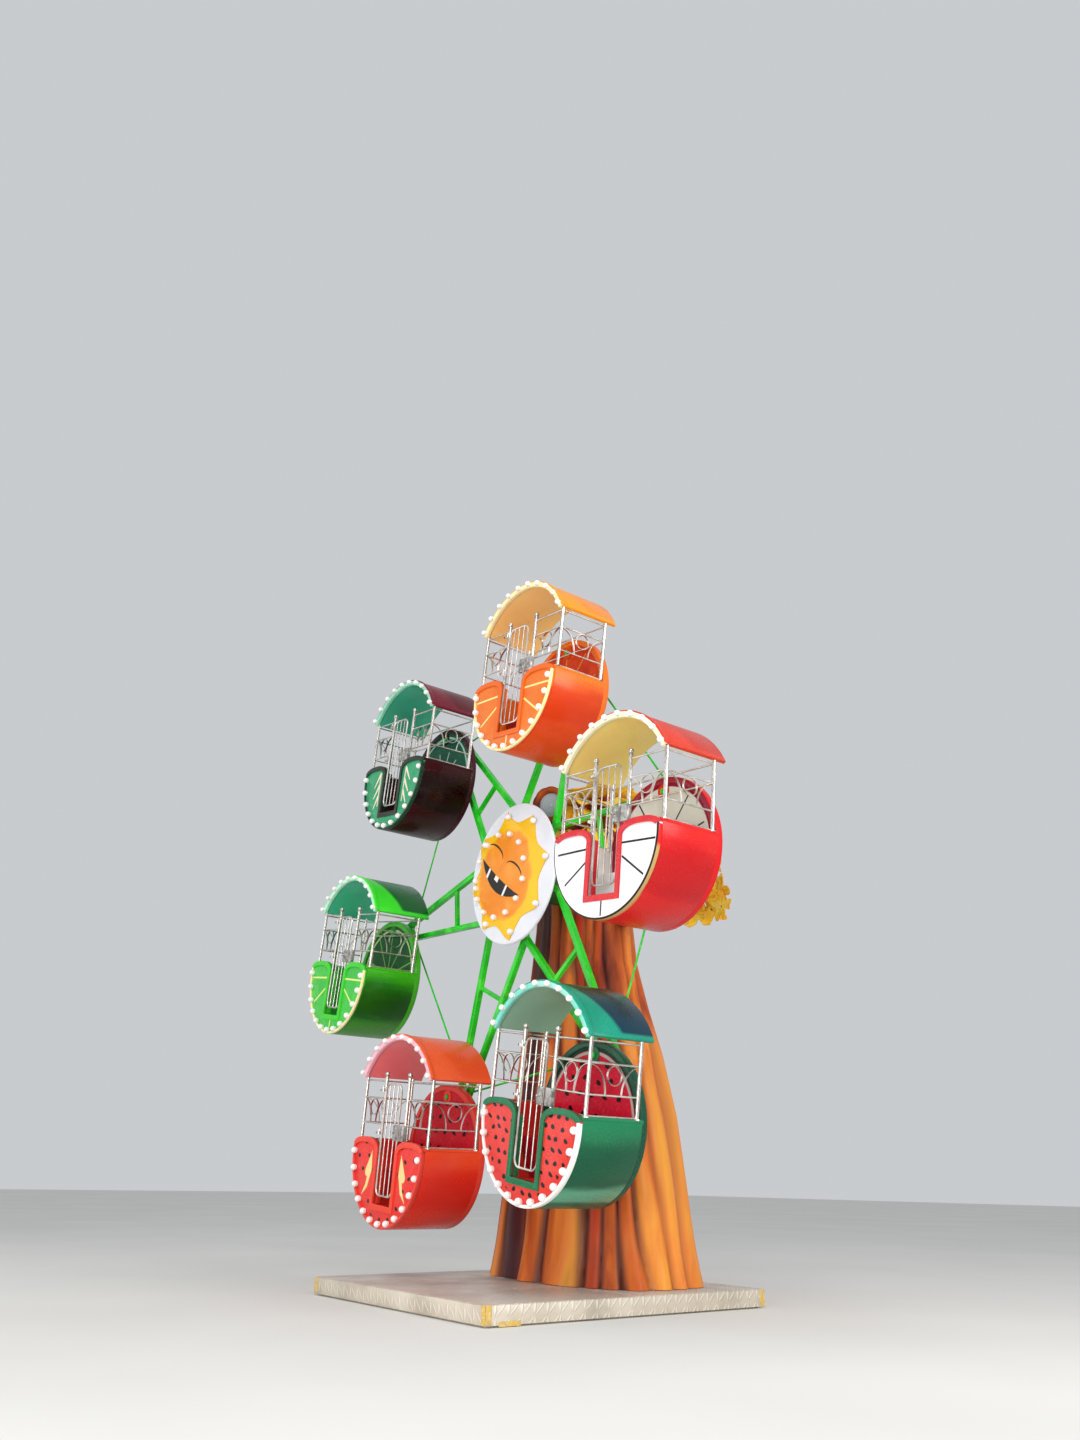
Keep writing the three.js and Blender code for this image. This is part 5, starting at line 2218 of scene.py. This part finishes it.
    def leaf(self, lobes: int) -> Mesh:
        """Sculpt one leaf from a grid: its base at the origin, its tip along +X.

        Args:
            lobes: 1 for a plain pointed leaf, 5 for one with five points.

        Returns:
            The leaf, 1 long.
        """
        fine = 26
        put_down()
        bpy.ops.mesh.primitive_grid_add(x_subdivisions=fine, y_subdivisions=fine, size=2)
        piece = bpy.context.object
        open_up(piece)
        mesh = bmesh.from_edit_mesh(piece.data)
        vein = mesh.verts.layers.float.new("vein")
        for vertex in mesh.verts:
            u, v = vertex.co.x, vertex.co.y
            rim = max(abs(u), abs(v))
            angle = atan2(v, u)
            if lobes == 1:
                share = (u + 1) / 2
                width = max(0.006, 0.34 * max(0.0, sin(pi * share**0.8)) ** 0.75)
                x, y = share, v * width
                rib = abs(v)
                side = abs(((share * 5 - abs(v) * 1.3) % 1.0) - 0.5) * 2
                line = max(1 - rib / 0.09, (1 - side / 0.28) * (0.9 if abs(v) < 0.85 else 0))
            else:
                points = abs(cos(lobes * angle / 2)) ** 1.6
                r = rim * (0.22 + 0.30 * points)
                x, y = 0.5 + r * cos(angle), r * sin(angle)
                line = max(0.0, 1 - abs(sin(lobes * angle / 2)) * rim / 0.13) if rim > 0.1 else 1.0
            edge = max(0.0, (rim - 0.86) / 0.14)
            vertex[vein] = max(0.0, 0.5 + 0.5 * max(0.0, line)) * (1 - edge)
            cup = 0.22 * y * y * 4 - 0.35 * x * x - 0.02 * max(0.0, line)
            vertex.co = (x, y, cup)
        bmesh.update_edit_mesh(piece.data)
        merge_doubles(1e-4)
        piece = settle(piece, "leaf")
        thick = piece.modifiers.new("thickness", "SOLIDIFY")
        thick.thickness = 0.02
        bpy.ops.object.modifier_apply(modifier=thick.name)
        return smoothed(piece, 60)

    def garland(self, name: str, node: str, tiers: Sequence[Tier]) -> Mesh:
        """Tiers of leaves round the trunk.

        Args:
            name: The piece's name.
            node: The CAD node that it stands for.
            tiers: How many leaves each tier has, their radius, height, tilt downwards and length.

        Returns:
            The joined leaves.
        """
        chance = random.Random(self.seed + len(tiers))
        shape = self.leaf(1)
        leaves = []
        for count, radius, z, tilt, size in tiers:
            for i in range(count):
                angle = tau * (i + chance.uniform(-0.15, 0.15)) / count
                if z > 5.2 and 3.75 < angle < 4.85:
                    continue
                x = self.centre[0] - 0.1 + radius * cos(angle)
                y = self.centre[1] + radius * 0.72 * sin(angle)
                turn = spin(angle, "Z") @ spin(tilt + chance.uniform(-0.15, 0.15), "Y")
                turn = turn @ spin(chance.uniform(-0.25, 0.25), "X")
                grown = Matrix.Scale(size * chance.uniform(0.9, 1.1), 4)
                place = Matrix.Translation((x, y, z + chance.uniform(-0.03, 0.03)))
                leaves.append(copied(shape, "leaf", place @ turn @ grown))
        bpy.data.objects.remove(shape)
        piece = joined(name, leaves)
        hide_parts(node)
        return piece

    def cluster(self) -> Mesh:
        """Broad leaves round the end of the right limb."""
        chance = random.Random(self.seed + 2)
        shape = self.leaf(5)
        leaves = []
        for row, (z, places) in enumerate(self.cluster_rows):
            for i, x in enumerate(places):
                place = Vector((x, self.centre[1] - 0.10 + 0.014 * (i % 3) - 0.012 * row, z))
                turn = spin(pi / 2, "X") @ spin(chance.uniform(0, tau), "Z")
                turn = turn @ spin(chance.uniform(-0.2, 0.2), "Y")
                size = Matrix.Scale((0.34 if row < 3 else 0.2) * chance.uniform(0.9, 1.1), 4)
                grown = Matrix.Translation(place) @ turn @ size @ Matrix.Translation((-0.5, 0, 0))
                leaves.append(copied(shape, "leaf", grown))
        bpy.data.objects.remove(shape)
        piece = joined("side_foliage", leaves)
        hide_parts("side_leaves")
        return piece

    def build(self) -> None:
        """Model and dress the tree."""
        bark = Bark("sprayed_bark").material()
        leaf = LeafPaint("painted_leaf").material()
        bent = [Vector((-0.25, 0.88, 4.95)), Vector((-0.52, 0.74, 5.60)), Vector((-0.30, 0.34, 5.53))]
        straight = [Vector((0.3, 0.81, 4.06)), Vector((1.04, 0.79, 4.03)), Vector((1.78, 0.77, 4.0))]
        left = self.limb("left_limb", "limb_left", bent, (0.27, 0.235))
        right = self.limb("right_limb", "limb_right", straight, (0.15, 0.135))
        housing = from_cad("bearing_housing", "housing_shell", 0.01)
        dress(housing, Sprayed("housing_green", **tones(("2c6b32", "1f5026", "3f8a44"))))
        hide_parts("bearing_housing")
        for piece in (self.trunk(), left[0], right[0]):
            piece.data.materials.append(bark)
            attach(piece, "base")
        top = self.garland("crown_foliage", "crown_leaves", self.crown)
        lower = self.garland("collar_foliage", "collar_leaves", self.collar)
        for piece in (top, lower, self.cluster()):
            piece.data.materials.append(leaf)
            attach(piece, "base")
        for piece in (left[1], right[1]):
            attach(piece, "base")
        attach(housing, "base")
        LOG.info("tree: trunk, limbs, leaves, housing")


@dataclass
class Platform:
    """The low deck of tread plate with yellow guards at its corners."""

    half: Point = (1.600, 1.700)
    height: float = 0.175
    inset: float = 0.003
    sheet: float = 0.010
    plinth: float = 0.014
    guard: float = 0.065

    def deck(self) -> Mesh:
        """The skirt on its plinth, six deck sheets and their screws."""
        ex, ey = (half - self.inset for half in self.half)
        skirt = box("skirt", (-ex, -ey, self.plinth), (ex, ey, self.height - self.sheet))
        foot = box("foot", (-ex + 0.05, -ey + 0.05, 0), (ex - 0.05, ey - 0.05, self.plinth + 0.01))
        pieces = [rounded(skirt, 0.005), foot]
        head = [(0, 0), (0.012, 0), (0.010, 0.003), (0.004, 0.005), (0, 0.005)]
        screw = smoothed(turned("screw", head, Vector((0, 0, 0)), UP, 10), 50)
        top, gap = self.height - 0.0045, 0.002
        for i in range(3):
            for j in range(2):
                x0, x1 = -ex + 2 * ex * i / 3, -ex + 2 * ex * (i + 1) / 3
                y0, y1 = -ey + ey * j, -ey + ey * (j + 1)
                low = (x0 + gap * (i > 0), y0 + gap * (j > 0), self.height - self.sheet)
                high = (x1 - gap * (i < 2), y1 - gap * (j < 1), top)
                pieces.append(rounded(box("sheet", low, high), 0.002))
                for a in (0.04, 0.5, 0.96):
                    for b in (0.03, 0.35, 0.65, 0.97):
                        if a == 0.5 and b in (0.35, 0.65):
                            continue
                        place = Vector((x0 + (x1 - x0) * a, y0 + (y1 - y0) * b, top - 0.0005))
                        pieces.append(copied(screw, "screw", Matrix.Translation(place)))
        bpy.data.objects.remove(screw)
        piece = joined("deck", pieces)
        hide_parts("platform")
        return piece

    def guards(self) -> Mesh:
        """An angle of yellow plate round each corner."""
        pieces = []
        hx, hy = self.half
        low, high = self.plinth + 0.004, self.height - 0.006
        for sx in (-1, 1):
            for sy in (-1, 1):
                for near, far in (
                    ((hx - self.guard, hy - 0.003), (hx, hy)),
                    ((hx - 0.003, hy - self.guard), (hx, hy)),
                ):
                    xs, ys = sorted((sx * near[0], sx * far[0])), sorted((sy * near[1], sy * far[1]))
                    pieces.append(rounded(box("guard", (xs[0], ys[0], low), (xs[1], ys[1], high)), 0.001))
        strip = box("strip", (hx - 0.002, -hy + 0.14, 0.004), (hx, -hy + 0.37, 0.044))
        return joined("corner_guards", [*pieces, rounded(strip, 0.0008)])

    def build(self) -> None:
        """Model and dress the platform."""
        deck = dress(self.deck(), TreadPlate("tread_plate"))
        yellows = tones(("dcb450", "c2a878", "ecd08a"))
        paint = Sprayed("guard_yellow", **yellows, amount=1.0, stretch=(0.05, 0.05, 0.05))
        guards = dress(self.guards(), paint)
        for piece in (deck, guards):
            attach(piece, "base")
        LOG.info("platform: deck, corner guards")


@dataclass
class Studio:
    """The camera where the photograph was taken from, a pale floor and soft light."""

    place: Spot = (9.952, -7.423, 1.13)
    heading: float = 53.487
    pitch: float = 23.418
    roll: float = 0.993
    focal: float = 1065.1
    long_side: float = 1440.0

    def camera(self) -> None:
        """Set the camera up."""
        az, pitch, roll = (radians(v) for v in (self.heading, self.pitch, self.roll))
        level = Vector((-sin(az), cos(az), 0))
        across = Vector((cos(az), sin(az), 0))
        forward = level * cos(pitch) + Vector((0, 0, sin(pitch)))
        rise = Vector((0, 0, cos(pitch))) - level * sin(pitch)
        right = across * cos(roll) + rise * sin(roll)
        up = rise * cos(roll) - across * sin(roll)
        put_down()
        bpy.ops.object.camera_add()
        eye = bpy.context.object
        turn = Matrix((right, up, -forward)).transposed().to_4x4()
        eye.matrix_world = Matrix.Translation(self.place) @ turn
        eye.data.sensor_fit = "AUTO"
        eye.data.sensor_width = 36.0
        eye.data.lens = 36.0 * self.focal / self.long_side
        eye.data.clip_end = 200.0
        bpy.context.scene.camera = eye

    def lamp(self, name: str, place: Spot, target: Spot, size: float, power: float) -> None:
        """Hang one soft square light.

        Args:
            name: Its name.
            place: Where it hangs.
            target: Where it points.
            size: Its side.
            power: Its power in watts.
        """
        put_down()
        bpy.ops.object.light_add(type="AREA", location=place)
        light = bpy.context.object
        light.name = name
        light.rotation_euler = (Vector(target) - Vector(place)).to_track_quat("-Z", "Y").to_euler()
        light.data.size = size
        light.data.energy = power

    def floor(self) -> None:
        """Lay the pale floor."""
        put_down()
        bpy.ops.mesh.primitive_plane_add(size=160, location=(0, 0, -0.001))
        ground = settle(bpy.context.object, "floor")
        dress(ground, Ground("pale_floor"))

    def build(self) -> None:
        """Camera, floor, lights and surroundings."""
        self.camera()
        self.floor()
        self.lamp("key", (9, -9, 13), (0, 0, 4), 8, 820)
        self.lamp("fill", (-8, -12, 6), (0, 0, 3.5), 9, 350)
        self.lamp("side", (14, 2, 8), (0, 0, 3.5), 7, 950)
        self.lamp("low", (6, -11, 0.4), (0, 0, 4.6), 6, 900)
        world = bpy.data.worlds.new("studio")
        world.use_nodes = True
        sky = world.node_tree.nodes["Background"]
        sky.inputs[0].default_value = tint("eef1f5")
        sky.inputs[1].default_value = 0.68
        bpy.context.scene.world = world
        bpy.context.scene.view_settings.view_transform = "Standard"
        LOG.info("studio: camera, floor, lights")


def main() -> None:
    """Build the scene, piece by piece."""
    logging.basicConfig(level=logging.INFO, format="%(message)s")
    Studio().build()
    lamp = Lamp()
    lamp.model()
    wheel = Wheel(lamp)
    wheel.build()
    Cabin(lamp).build(wheel)
    lamp.put_away()
    Tree().build()
    Platform().build()


if __name__ == "__main__":
    main()
